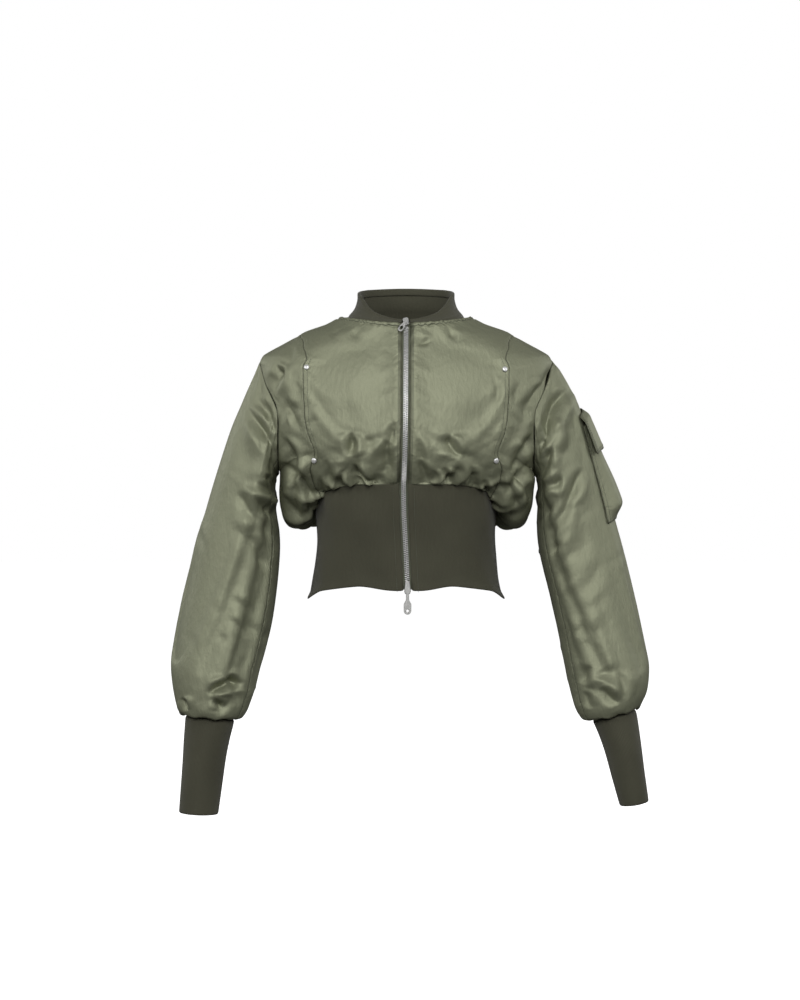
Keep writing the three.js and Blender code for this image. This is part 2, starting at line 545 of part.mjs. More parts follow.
const TOP_RING = BODY.length - 1;
for (const [side, word] of [[-1, 'right'], [1, 'left']]) {
  addBodyPanel(
    `centre_front_${word}`, 0, TOP_RING,
    (row) => [edgeAngle(row, FRONT_EDGE) * side, row.seam * side], 8, () => null,
  );
  addBodyPanel(
    `side_front_${word}`, 0, SEAM_END_RING,
    (row) => [row.seam * side, row.armF * side], 5,
    (first, last, at) => (last ? cornerAt(side, at, true) : null),
  );
}
addBodyPanel(
  'back', 0, TOP_RING, (row) => [row.armB, 360 - row.armB], 26,
  (first, last, at) => {
    if (first) {
      return cornerAt(1, at, false);
    }
    return last ? cornerAt(-1, at, false) : null;
  },
);

/** Builds one lengthwise piece of a sleeve. */
function addSleevePiece(name, side, rows, folds, fromColumn, toColumn) {
  const outer = [];
  const inner = [];
  for (const step of SLEEVE_STEPS) {
    const line = [];
    const back = [];
    for (let j = fromColumn; j <= toColumn; j += 1) {
      const angle = (j * 360) / SLEEVE_COLUMNS;
      const point = sleevePoint(side, rows, folds, step, angle);
      const turn = ((angle % 360) + 360) % 360;
      const normal = step === 0 ? armholeNormal(side, rows, turn) : sleeveNormal(side, rows, step, angle);
      line.push(point);
      back.push(point.clone().addScaledVector(normal, -SHELL_WALL));
    }
    outer.push(line);
    inner.push(back);
  }
  for (const grid of [outer, inner]) {
    trim(grid, ['left', 'right'], SEAM_GAP / 2);
    trim(grid, ['first'], SEAM_GAP);
  }
  const atBack = (j) => {
    const turn = (((fromColumn + j + SLEEVE_COLUMNS) % SLEEVE_COLUMNS) * 360) / SLEEVE_COLUMNS;
    return turn >= 180;
  };
  return addWall(name, outer, inner, false, shellMaterial, atBack);
}

/** Builds a rib cuff that starts at the sleeve's last section. */
function addCuff(name, side, sleeveRows, rows) {
  const seam = { ...sleeveRows[sleeveRows.length - 1] };
  delete seam.keep;
  seam.oz -= SEAM_GAP + 0.3;
  seam.iz -= SEAM_GAP + 0.3;
  const table = [seam, ...rows];
  const outer = [];
  const inner = [];
  for (let step = 0; step < table.length; step += 1) {
    const line = [];
    const back = [];
    for (let j = 0; j < SLEEVE_COLUMNS; j += 1) {
      const angle = (j * 360) / SLEEVE_COLUMNS;
      const point = sleeveForm(side, table, step, angle);
      const radial = point.clone().sub(sleeveForm(side, table, step, angle + 180)).normalize();
      line.push(point);
      back.push(point.clone().addScaledVector(radial, -RIB_WALL));
    }
    outer.push(line);
    inner.push(back);
  }
  return addWall(name, outer, inner, true, ribMaterial);
}

for (const [side, word, rows, folds, cuff] of [
  [-1, 'right', SLEEVE_RIGHT, RIGHT_SLEEVE_FOLDS, CUFF_RIGHT],
  [1, 'left', SLEEVE_LEFT, LEFT_SLEEVE_FOLDS, CUFF_LEFT],
]) {
  addSleevePiece(`upper_sleeve_${word}`, side, rows, folds, UNDER_TO - SLEEVE_COLUMNS, UNDER_FROM);
  addSleevePiece(`under_sleeve_${word}`, side, rows, folds, UNDER_FROM, UNDER_TO);
  addCuff(`cuff_${word}`, side, rows, cuff);
}

/** Builds a rib band between the two front edges. way gives its outward direction. */
function addBand(name, rings, columns, point, way, wall) {
  const outer = [];
  const inner = [];
  for (const at of rings) {
    const line = [];
    const back = [];
    for (let j = 0; j <= columns; j += 1) {
      const share = j / columns;
      line.push(point(share, at));
      back.push(point(share, at).addScaledVector(way(share, at), -wall));
    }
    outer.push(line);
    inner.push(back);
  }
  return addWall(name, outer, inner, false, ribMaterial);
}

/** Spreads a share of 0 to 1 over the ring between the two front edges. */
function bandAngle(row, share) {
  const edge = edgeAngle(row, FRONT_EDGE);
  return lerp(edge, 360 - edge, share);
}

const around = (degrees) => (degrees > 180 ? degrees - 360 : degrees);
const waistPoint = (share, at) => {
  const row = rowAt(WAIST, WAIST.length - 1 - at);
  return ringPoint(row, around(bandAngle(row, share)));
};
const levelWay = (point) => (share, at) => {
  const before = point(share - 0.002, at);
  const after = point(share + 0.002, at);
  return new THREE.Vector3(after.y - before.y, before.x - after.x, 0).normalize();
};
addBand('waistband', [0, 0.7, 1.5, 2.4, 3.3, 4.2, 5], 56, waistPoint, levelWay(waistPoint), RIB_WALL);

const neckRow = { ...BODY[TOP_RING] };
const collarPoint = (share, at) => {
  const degrees = bandAngle(neckRow, share);
  const turn = Math.min(degrees, 360 - degrees);
  const height = lookup(COLLAR, 'angle', 'height', turn) * (at / (COLLAR_ROWS - 1));
  const lean = 1 - COLLAR_LEAN * (1 - Math.exp(-height / COLLAR_LEAN_HEIGHT));
  const point = ringPoint(neckRow, around(degrees));
  return new THREE.Vector3(point.x * lean, point.y * lean, point.z + SEAM_GAP + 0.3 + height);
};
addBand('collar', [0, 1, 2, 3, 4], 44, collarPoint, levelWay(collarPoint), COLLAR_WALL);

/** Front line of the closed zip: depth and outward direction at a height. */
function frontLine(z) {
  const depthAt = (level) => {
    const rows = level > BODY[0].front ? BODY : [...WAIST].reverse();
    let low = 0;
    let high = rows.length - 1;
    for (let i = 0; i < 24; i += 1) {
      const middle = (low + high) / 2;
      if (column(rows, 'front', middle) < level) {
        low = middle;
      } else {
        high = middle;
      }
    }
    return -column(rows, 'fore', (low + high) / 2);
  };
  const above = Math.min(z + 9, BODY[TOP_RING].front);
  const slope = (depthAt(above) - depthAt(z - 9)) / (above - z + 9);
  const normal = new THREE.Vector3(0, -1, slope).normalize();
  return { point: new THREE.Vector3(zipLine(z), depthAt(z), z), normal };
}

/** Sweeps a flat profile, given across and behind the front line, down the front. */
function addZipStrip(name, profile, top, bottom, material) {
  const points = [];
  const triangles = [];
  const size = profile.length;
  for (let i = 0; i <= ZIP_SECTIONS; i += 1) {
    const { point, normal } = frontLine(lerp(top, bottom, i / ZIP_SECTIONS));
    for (const [across, behind] of profile) {
      const corner = point.clone().addScaledVector(normal, -behind);
      corner.x += across;
      points.push(corner);
    }
  }
  for (let i = 0; i < ZIP_SECTIONS; i += 1) {
    for (let j = 0; j < size; j += 1) {
      const k = (j + 1) % size;
      const a = i * size + j;
      const b = i * size + k;
      triangles.push(a, b, b + size, a, b + size, a + size);
    }
  }
  const last = ZIP_SECTIONS * size;
  for (let j = 1; j < size - 1; j += 1) {
    triangles.push(0, j + 1, j, last, last + j, last + j + 1);
  }
  return addMesh(name, points, triangles, material);
}

for (const [side, word] of [[-1, 'right'], [1, 'left']]) {
  addZipStrip(`zip_tape_${word}`, [
    [TAPE.inner * side, TAPE.front], [TAPE.outer * side, TAPE.front],
    [TAPE.outer * side, TAPE.back], [TAPE.inner * side, TAPE.back],
  ], ZIP_TOP, ZIP_BOTTOM, tapeMaterial);
}
addZipStrip('zip_chain', [
  [-CHAIN.half, CHAIN.back], [-CHAIN.half, CHAIN.front + 0.8], [-CHAIN.crown, CHAIN.front],
  [CHAIN.crown, CHAIN.front], [CHAIN.half, CHAIN.front + 0.8], [CHAIN.half, CHAIN.back],
], ZIP_TOP, ZIP_BOTTOM, metalMaterial);

/** Closed plate cut from an outline, with its thickness in front of and behind the middle plane. */
function plate(outline, holes, thick) {
  const shape = new THREE.Shape(outline.map(([x, y]) => new THREE.Vector2(x, y)));
  for (const hole of holes) {
    shape.holes.push(new THREE.Path(hole.map(([x, y]) => new THREE.Vector2(x, y))));
  }
  const geometry = new THREE.ExtrudeGeometry(shape, { depth: thick, bevelEnabled: false, steps: 1 });
  geometry.translate(0, 0, -thick / 2);
  return geometry;
}

/** Places a geometry drawn in X (across), Y (up the front), Z (out of the front) on the front line. */
function placeOnFront(geometry, z, drop, ahead, roll, name) {
  const { point, normal } = frontLine(z);
  const up = new THREE.Vector3(0, normal.z, -normal.y).normalize();
  const across = new THREE.Vector3(1, 0, 0);
  const basis = new THREE.Matrix4().makeBasis(across, up, normal);
  const place = point.clone().addScaledVector(normal, ahead).addScaledVector(up, -drop);
  geometry.rotateZ(roll * RAD);
  geometry.applyMatrix4(basis.setPosition(place));
  const mesh = new THREE.Mesh(geometry, metalMaterial);
  mesh.name = name;
  mesh.userData.pivot = place.toArray();
  group.add(mesh);
}

/** Outline of a slider body: wide shoulders at one end, narrow at the other. */
function sliderOutline(size) {
  const { half, length } = size;
  return [
    [-half * 0.62, -length / 2], [half * 0.62, -length / 2], [half * 0.8, -length * 0.1],
    [half, length * 0.28], [half * 0.72, length / 2], [-half * 0.72, length / 2],
    [-half, length * 0.28], [-half * 0.8, -length * 0.1],
  ];
}

/** Outline of a pull tab that hangs from its upper end at the origin. */
function pullOutline(size) {
  const { length, neck, width, end } = size;
  const outline = [[-neck / 2, end], [-neck / 2, -length * 0.3], [-width / 2, -length * 0.5]];
  for (let i = 0; i <= 8; i += 1) {
    const angle = Math.PI + (Math.PI * i) / 8;
    outline.push([Math.cos(angle) * width / 2, -length + width / 2 + Math.sin(angle) * width / 2]);
  }
  outline.push([width / 2, -length * 0.5], [neck / 2, -length * 0.3], [neck / 2, end]);
  return outline.reverse();
}

/** Ring of points for a pull tab's hole. */
function holeRing(hole) {
  const ring = [];
  for (let i = 0; i < 12; i += 1) {
    const angle = (Math.PI * 2 * i) / 12;
    ring.push([Math.cos(angle) * hole.across, Math.sin(angle) * hole.along - hole.down]);
  }
  return ring;
}

for (const [word, slider, pull, hole] of [
  ['top', TOP_SLIDER, TOP_PULL, TOP_PULL_HOLE],
  ['low', LOW_SLIDER, LOW_PULL, LOW_PULL_HOLE],
]) {
  const sliderAhead = slider.thick / 2 + SEAT - CHAIN.front;
  const pullAhead = sliderAhead + slider.thick / 2 + SEAT + pull.thick / 2;
  placeOnFront(plate(sliderOutline(slider), [], slider.thick), slider.z, 0, sliderAhead, slider.roll,
    `${word}_slider`);
  placeOnFront(plate(pullOutline(pull), [holeRing(hole)], pull.thick), slider.z, pull.drop, pullAhead,
    -pull.swing, `${word}_pull`);
}

/** Finds the body surface at a front position. */
function findOnFront(x, z) {
  let degrees = Math.asin(clamp(x / 200, -1, 1)) / RAD;
  let at = 12;
  for (let i = 0; i < 60; i += 1) {
    const here = bodyPoint(degrees, at);
    at = clamp(at + (z - here.z) / 12, 0.5, TOP_RING - 0.5);
    degrees += (x - here.x) / 4;
  }
  return { point: bodyPoint(degrees, at), normal: bodyNormal(degrees, at) };
}

for (const { name, x, z } of RIVETS) {
  const { point, normal } = findOnFront(x, z);
  const profile = [new THREE.Vector2(0, 0), new THREE.Vector2(RIVET.radius, 0),
    new THREE.Vector2(RIVET.radius, RIVET.rim)];
  for (let i = 1; i <= 4; i += 1) {
    const angle = (i / 5) * Math.PI / 2;
    profile.push(new THREE.Vector2(RIVET.radius * Math.cos(angle), RIVET.rim + RIVET.crown * Math.sin(angle)));
  }
  profile.push(new THREE.Vector2(0, RIVET.rim + RIVET.crown));
  const geometry = new THREE.LatheGeometry(profile, RIVET.sides);
  const turn = new THREE.Quaternion().setFromUnitVectors(new THREE.Vector3(0, 1, 0), normal);
  geometry.applyQuaternion(turn);
  const seat = point.clone().addScaledVector(normal, 0.7);
  geometry.translate(seat.x, seat.y, seat.z);
  const mesh = new THREE.Mesh(geometry, metalMaterial);
  mesh.name = name;
  group.add(mesh);
}

/** Point over the left sleeve, at a distance out from its surface. */
function overSleeve(step, angle, out) {
  const point = sleevePoint(1, SLEEVE_LEFT, LEFT_SLEEVE_FOLDS, step, angle);
  return point.addScaledVector(sleeveNormal(1, SLEEVE_LEFT, step, angle), out);
}

/** Builds a patch over the left sleeve whose stand-off changes over its face. */
function addPatch(name, size, standOff) {
  const outer = [];
  const inner = [];
  for (let i = 0; i <= size.rows; i += 1) {
    const down = i / size.rows;
    const line = [];
    const back = [];
    for (let j = 0; j <= size.columns; j += 1) {
      const across = j / size.columns;
      const step = lerp(size.top, size.foot, down);
      const angle = lerp(size.fore + size.flare * down, size.aft, across);
      const out = standOff(down, across);
      line.push(overSleeve(step, angle, out + POCKET_WALL));
      back.push(overSleeve(step, angle, out));
    }
    outer.push(line);
    inner.push(back);
  }
  return addWall(name, outer, inner, false, shellMaterial);
}

const edgeRound = (share, width) => ease(0, width, share) * ease(0, width, 1 - share);
const pocketOut = (down, across) => {
  const belly = lerp(POCKET.mouth, POCKET.belly, down ** 1.2);
  return 0.6 + belly * edgeRound(across, 0.22) * ease(0, 0.16, 1 - down);
};
addPatch('sleeve_pocket', POCKET, pocketOut);
const flapOut = (down, across) => {
  const share = (lerp(FLAP.top, FLAP.foot, down) - POCKET.top) / (POCKET.foot - POCKET.top);
  const over = ease(-0.18, -0.03, share);
  const angle = lerp(FLAP.fore, FLAP.aft, across);
  const along = clamp((POCKET.fore - angle) / (POCKET.fore - POCKET.aft), FLAP_INSET, 1 - FLAP_INSET);
  const under = (pocketOut(clamp(share, 0, 1), along) + POCKET_WALL + 0.5) * over;
  return Math.max(0.6, under + FLAP.lift * down);
};
addPatch('pocket_flap', FLAP, flapOut);

export default group;
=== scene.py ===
"""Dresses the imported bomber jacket: padded shell, rib knit, zip, rivets and a soft studio."""

import logging
import math
from collections.abc import Callable
from dataclasses import dataclass, field
from enum import Enum

import bmesh
import bpy
import numpy as np
from mathutils import Matrix, Vector


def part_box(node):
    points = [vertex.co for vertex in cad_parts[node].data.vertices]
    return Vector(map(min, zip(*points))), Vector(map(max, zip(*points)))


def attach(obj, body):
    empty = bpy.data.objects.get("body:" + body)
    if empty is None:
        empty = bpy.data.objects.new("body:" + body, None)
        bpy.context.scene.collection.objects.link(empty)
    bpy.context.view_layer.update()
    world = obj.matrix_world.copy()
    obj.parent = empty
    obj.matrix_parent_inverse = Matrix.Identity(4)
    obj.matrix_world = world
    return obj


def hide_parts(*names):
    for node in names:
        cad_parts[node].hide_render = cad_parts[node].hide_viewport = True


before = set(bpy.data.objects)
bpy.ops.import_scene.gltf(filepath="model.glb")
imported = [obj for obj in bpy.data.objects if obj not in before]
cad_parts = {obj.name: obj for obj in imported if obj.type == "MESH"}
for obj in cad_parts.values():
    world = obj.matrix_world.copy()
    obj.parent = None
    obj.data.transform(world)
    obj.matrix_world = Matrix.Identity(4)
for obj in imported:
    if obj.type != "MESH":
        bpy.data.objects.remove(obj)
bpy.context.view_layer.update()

Array = np.ndarray
Object, Material = bpy.types.Object, bpy.types.Material
Tree, Node, Socket = bpy.types.NodeTree, bpy.types.Node, bpy.types.NodeSocket
Triple = tuple[float, float, float]
Line = tuple[Array, Array]
Rows = tuple[tuple[float, ...], ...]
Insets = tuple[tuple[str, float], ...]
Surface = Callable[[Array, Array], Array]

LOG = logging.getLogger("jacket")
MM = 0.001
SHELL_WALL = 2.6
RIB_WALL = 2.0
# Exponent of the rings' rounded outline, and how far the front edges are from the middle of the zip.
POWER = 2 / 2.35
FRONT_EDGE = 5.4
# The front view: millimetres to a pixel, its middle in pixels, and the place that it shows there.
PIXEL = 1.36
MIDDLE_ACROSS, MIDDLE_DOWN = 400, 500
SHOWN_ACROSS, SHOWN_UP = -8.4, -252.0
# Angles of the two lengthwise seams of a sleeve, with 0 outermost and 90 at the front.
FRONT_SEAM, BACK_SEAM = 150, 210
# Angle round the left sleeve of the middle of its pocket.
POCKET_MIDDLE = -8


class Held(Enum):
    """How a piece of cloth is held on the garment."""

    GATHERED = "gathered"
    STRETCHED = "stretched"
    LAID = "laid"


def ease(low: float | Array, high: float | Array, value: float | Array) -> Array:
    """Eases from 0 at low to 1 at high.

    Args:
        low: Where the rise begins.
        high: Where the rise ends.
        value: Places to measure.

    Returns:
        Shares from 0 to 1.
    """
    share = np.clip((np.asarray(value) - low) / (high - low), 0.0, 1.0)
    return share * share * (3 - 2 * share)


def unit(vectors: Array) -> Array:
    """Scales each vector of an array to length 1."""
    length = np.linalg.norm(vectors, axis=-1, keepdims=True)
    return vectors / np.maximum(length, 1e-9)


@dataclass(frozen=True)
class Sections:
    """Table of sections along a surface, with named columns."""

    columns: tuple[str, ...]
    rows: Rows

    def at(self, place: Array) -> dict[str, Array]:
        """Reads every column at fractional rows, on a smooth curve through the rows.

        Args:
            place: Fractional row numbers.

        Returns:
            One array for each named column.
        """
        data = np.array(self.rows, dtype=float)
        wide = np.vstack([2 * data[0] - data[1], data, 2 * data[-1] - data[-2]])
        spot = np.clip(np.asarray(place, dtype=float), 0, len(data) - 1)
        i = np.minimum(spot.astype(int), len(data) - 2)
        t = (spot - i)[..., None]
        a, b, c, d = wide[i], wide[i + 1], wide[i + 2], wide[i + 3]
        low, high = (c - a) / 2, (d - b) / 2
        value = (
            (2 * t**3 - 3 * t**2 + 1) * b + (t**3 - 2 * t**2 + t) * low
            + (3 * t**2 - 2 * t**3) * c + (t**3 - t**2) * high
        )
        return {name: value[..., k] for k, name in enumerate(self.columns)}

    @property
    def last(self) -> float:
        """Number of the last row."""
        return float(len(self.rows) - 1)


# Heights at the centre front, side and centre back; half width; depths before and behind; where the side
# height begins; where the armhole cuts the ring; where the front seam crosses it.
BODY = Sections(
    ("front", "side", "back", "half", "fore", "aft", "turn", "arm_fore", "arm_aft", "seam"),
    (
        (-232, -249, -249, 127.5, 99.6, 92, 25, 90, 90, 66),
        (-227, -271, -272, 133, 101.8, 100, 36, 90, 90, 60),
        (-221, -287.5, -289, 149, 105.5, 114, 38, 90, 90, 54),
        (-214, -283, -285, 166, 110, 130, 38, 90, 90, 48),
        (-206, -264, -266, 175.5, 114, 137, 34, 90, 90, 45),
        (-197, -243, -243, 177.5, 117.5, 136, 28, 90, 90, 43.5),
        (-187, -226, -221, 176.5, 120, 131, 20, 90, 90, 42.5),
        (-177, -213, -202, 176.5, 121, 126, 12, 90, 90, 42),
        (-167.5, -210.2, -189.5, 179, 121.5, 122.5, 6, 80, 99, 41.5),
        (-158, -202, -177, 184.5, 121.5, 119.5, 2, 71.5, 107, 41),
        (-148.5, -189, -165, 191, 121, 117, 0, 65.5, 113, 40.8),
        (-139, -172, -153, 197, 120, 114.5, 0, 61.5, 117, 40.6),
        (-129.5, -152, -141, 200, 118.5, 112, 0, 59.5, 119, 40.6),
        (-120, -131, -129, 201, 117, 109.5, 0, 60, 119, 40.6),
        (-110.5, -110, -117, 204, 115, 107, 0, 63.5, 116, 40.2),
        (-101, -90, -105, 206, 112.5, 104, 0, 69, 111, 39.8),
        (-91.5, -73, -93, 206.5, 109.5, 101, 0, 74, 106, 39.7),
        (-82, -61.5, -81, 206.5, 106.5, 98, 0, 79, 101, 39.8),
        (-72.5, -54.5, -69, 206, 103.5, 94.5, 0, 84.5, 95.5, 40),
        (-63, -52, -57, 205, 100, 91, 0, 90, 90, 40.4),
        (-52, -38, -43, 184, 95.5, 86, 0, 90, 90, 47.5),
        (-41, -27, -31, 163, 90.5, 80.5, 0, 90, 90, 58.5),
        (-30, -17.5, -19, 143, 85, 74, 0, 90, 90, 89.2),
        (-18.5, -7, -6, 115, 80, 66, 0, 90, 90, 90),
        (-8, 3.5, 8, 88.5, 75.5, 57, 0, 90, 90, 90),
    ),
)
# Rings at the underarm, at the tip of the shoulder, and where the front seam ends.
UNDERARM_RING, TIP_RING, SEAM_END_RING = 7, 19, 22
# Rings where the softening of the shoulder comes and goes, and how many rings it reaches.
SOFT_RISE, SOFT_FALL, SOFT_REACH = (14, 18), (20.5, 23), 1.5

WAIST = Sections(
    ("front", "side", "back", "half", "fore", "aft", "turn"),
    (
        (-376, -390, -380, 135, 95, 90, 0),
        (-352, -367, -358, 131, 93.5, 89, 0),
        (-322, -338, -331, 127, 93.5, 89, 0),
        (-290, -305, -301, 124.5, 95, 90, 10),
        (-258, -273, -272, 126, 97.4, 91, 20),
        (-232.5, -249.5, -249.5, 126.8, 99, 91.5, 25),
    ),
)
# Angle from the centre front and height of the collar there.
COLLAR_HEIGHT = (
    (0, 3), (8, 4), (20, 7), (35, 11), (48, 16.6), (60, 23.6), (70, 29), (80, 32.6), (92, 35.2),
    (106, 37.2), (126, 38.6), (180, 39),
)
# How far the collar leans in at most, and the height in which most of the lean is reached.
COLLAR_LEAN, COLLAR_LEAN_HEIGHT = 0.25, 9.0

SLEEVE_COLUMNS = ("ox", "oz", "ix", "iz", "y", "fore", "aft", "keep")


def sleeve_sections(edges: Rows, depths: Rows) -> Sections:
    """Sections of a sleeve or cuff, from its outer and inner edges and its depths."""
    rows = tuple((*edge, *depth) for edge, depth in zip(edges, depths))
    return Sections(SLEEVE_COLUMNS[:len(rows[0])], rows)


# Depths that both sides share: middle, before, behind, and how much still follows the armhole.
SLEEVE_DEPTHS = (
    (0, 66, 60, 1), (1, 68, 62, 0.8), (2, 70, 65, 0.6), (3, 71, 67, 0.4), (3, 71, 68, 0.24),
    (2, 70, 68, 0.12), (0, 68, 67, 0.04), (-5, 66, 66, 0), (-12, 64, 65, 0), (-21, 62, 64, 0),
    (-31, 60, 62, 0), (-37, 58, 60, 0), (-42, 55, 57, 0), (-47, 50, 52, 0), (-50, 46, 47, 0),
    (-52, 40, 41, 0), (-53, 33, 34, 0),
)
CUFF_DEPTHS = (
    (-53, 33, 34), (-55, 32.5, 33), (-62, 31, 31), (-69, 29.5, 29.5), (-78, 28, 28), (-86, 27, 27),
)
RIGHT_SLEEVE = sleeve_sections((
    (205, -52, 176.5, -213), (214, -67, 180.7, -220), (224.5, -86.5, 182.2, -229),
    (237.5, -117.5, 182.8, -241), (251, -151, 182.4, -255), (267, -201, 180.6, -273),
    (281.5, -250.5, 177, -297), (294.5, -301, 176.2, -326), (305.5, -356.5, 179.3, -369),
    (316, -406.5, 185.8, -419), (323.5, -454.5, 195, -460), (325.5, -480.5, 202.3, -486),
    (323.5, -503.5, 208, -510.5), (319.5, -524, 214.7, -531), (316, -536, 220, -544),
    (311, -544.8, 227.5, -553), (303.2, -545.4, 236.4, -551.6),
), SLEEVE_DEPTHS)
LEFT_SLEEVE = sleeve_sections((
    (205, -52, 176.5, -213), (216.5, -65, 181.8, -221), (227.5, -84, 183.8, -231),
    (239.5, -110.5, 184.4, -243.5), (251.5, -144, 184, -259), (266, -191.7, 183.2, -280),
    (281, -239.5, 184.2, -306.5), (295.7, -292.5, 188.8, -336), (310.4, -348.3, 199.5, -380.4),
    (322, -401, 210, -428.7), (330.8, -447.5, 219, -476.7), (335.7, -475, 224.2, -502.6),
    (335.5, -495.3, 228.6, -521.5), (332.5, -514.2, 233, -537.7), (326.6, -527.8, 238.4, -548.4),
    (321, -536.5, 245, -555), (315, -538.5, 256, -553.2),
), SLEEVE_DEPTHS)
RIGHT_CUFF = sleeve_sections((
    (303.2, -546.1, 236.4, -552.3), (304, -560, 237.5, -563), (305.5, -583, 242.5, -583),
    (307, -610, 247.5, -608), (308.5, -644, 252, -644), (309.6, -677.4, 256, -680),
), CUFF_DEPTHS)
LEFT_CUFF = sleeve_sections((
    (315, -539.2, 256, -553.9), (317.5, -549, 259.5, -563), (320.5, -570, 266.5, -580),
    (323.4, -592, 273.5, -600), (327, -628, 282.5, -635), (330.4, -662, 291, -668.5),
), CUFF_DEPTHS)
# Height and how far the zip stands off the middle there.
ZIP_LINE = (
    (-390, 2.6), (-352, 1), (-306, -1.2), (-273, -3), (-233, -3.6), (-194, -1.9), (-144, -0.8), (12, 0),
)


def looked_up(table: Rows, place: Array) -> Array:
    """Values of a table of places and values, on straight lines between its rows."""
    return np.interp(place, *np.array(table).T)


def zip_line(height: Array) -> Array:
    """How far the zip stands off the middle at a height, in millimetres."""
    return looked_up(ZIP_LINE, height)


# Troughs beside the crest of a fold: place and spread in the fold's own width, and share of its rise.
VALLEY, FAR_VALLEY = (1.9, 1.15, 0.6), (-2.1, 1.3, 0.3)


@dataclass(frozen=True)
class Fold:
    """Soft ridge or trough on a surface seen flat, in millimetres."""

    across: float
    up: float
    lean: float
    length: float
    width: float
    rise: float

    @staticmethod
    def between(x0: float, y0: float, x1: float, y1: float, width: float, rise: float) -> "Fold":
        """Fold that runs from one point of the front view to another.

        Args:
            x0: First point, in pixels across the view.
            y0: First point, in pixels down it.
            x1: Second point across.
            y1: Second point down.
            width: Half width of the fold in millimetres.
            rise: How far it lifts the cloth; a trough is negative.

        Returns:
            The fold in the frame's millimetres, a little longer than the run because its ends fade.
        """
        run = math.hypot(x1 - x0, y1 - y0) * PIXEL
        lean = math.degrees(math.atan2(x1 - x0, y1 - y0))
        across = ((x0 + x1) / 2 - MIDDLE_ACROSS) * PIXEL + SHOWN_ACROSS
        up = (MIDDLE_DOWN - (y0 + y1) / 2) * PIXEL + SHOWN_UP
        return Fold(across, up, lean, run * 1.15, width, rise)

    def height(self, across: Array, up: Array) -> Array:
        """How far the fold lifts the surface.

        Args:
            across: Places across the surface.
            up: Places up the surface.

        Returns:
            Lift at each place, with a sharp crest and shallow valleys beside it.
        """
        c, s = math.cos(math.radians(self.lean)), math.sin(math.radians(self.lean))
        dx, dz = across - self.across, up - self.up
        along, side = dz * c - dx * s, dx * c + dz * s
        bend = side + 0.3 * self.width * np.sin(along / self.length * 5.2 + self.up)
        span = np.clip(1 - (2 * along / self.length) ** 2, 0, 1)
        taper = self.width * (0.5 + 0.6 * span)
        relief = np.exp(-np.abs(bend / taper) ** 1.35)
        for place, spread, share in (VALLEY, FAR_VALLEY):
            relief = relief - share * np.exp(-(((bend - place * taper) / (spread * taper)) ** 2))
        return self.rise * span * (0.8 + 0.3 * along / self.length) * relief


Folds = tuple[Fold, ...]


def scattered_folds(seed: int, count: int, box: tuple[float, float, float, float],
                    lean: tuple[float, float], length: tuple[float, float], rise: float) -> Folds:
    """Small folds of uneven length, depth and spacing inside a box.

    Args:
        seed: Seed of the scatter.
        count: How many folds.
        box: Lowest across, lowest up, highest across, highest up.
        lean: Range of leans in degrees.
        length: Range of lengths.
        rise: Largest depth.

    Returns:
        The folds.
    """
    dice = np.random.default_rng(seed)
    folds = []
    for _ in range(count):
        depth = -dice.uniform(0.35, 1) * rise if dice.random() < 0.7 else dice.uniform(0.3, 0.8) * rise
        folds.append(Fold(
            dice.uniform(box[0], box[2]), dice.uniform(box[1], box[3]), dice.uniform(*lean),
            dice.uniform(*length), dice.uniform(3.0, 6.5), depth,
        ))
    return tuple(folds)


def drawn_folds(rows: Rows) -> Folds:
    """Folds drawn over the front view, each row with the values of Fold.between."""
    return tuple(Fold.between(*row) for row in rows)


def laid_folds(rows: Rows) -> Folds:
    """Folds laid on a side that the front view doesn't show, each row with the values of Fold."""
    return tuple(Fold(*row) for row in rows)


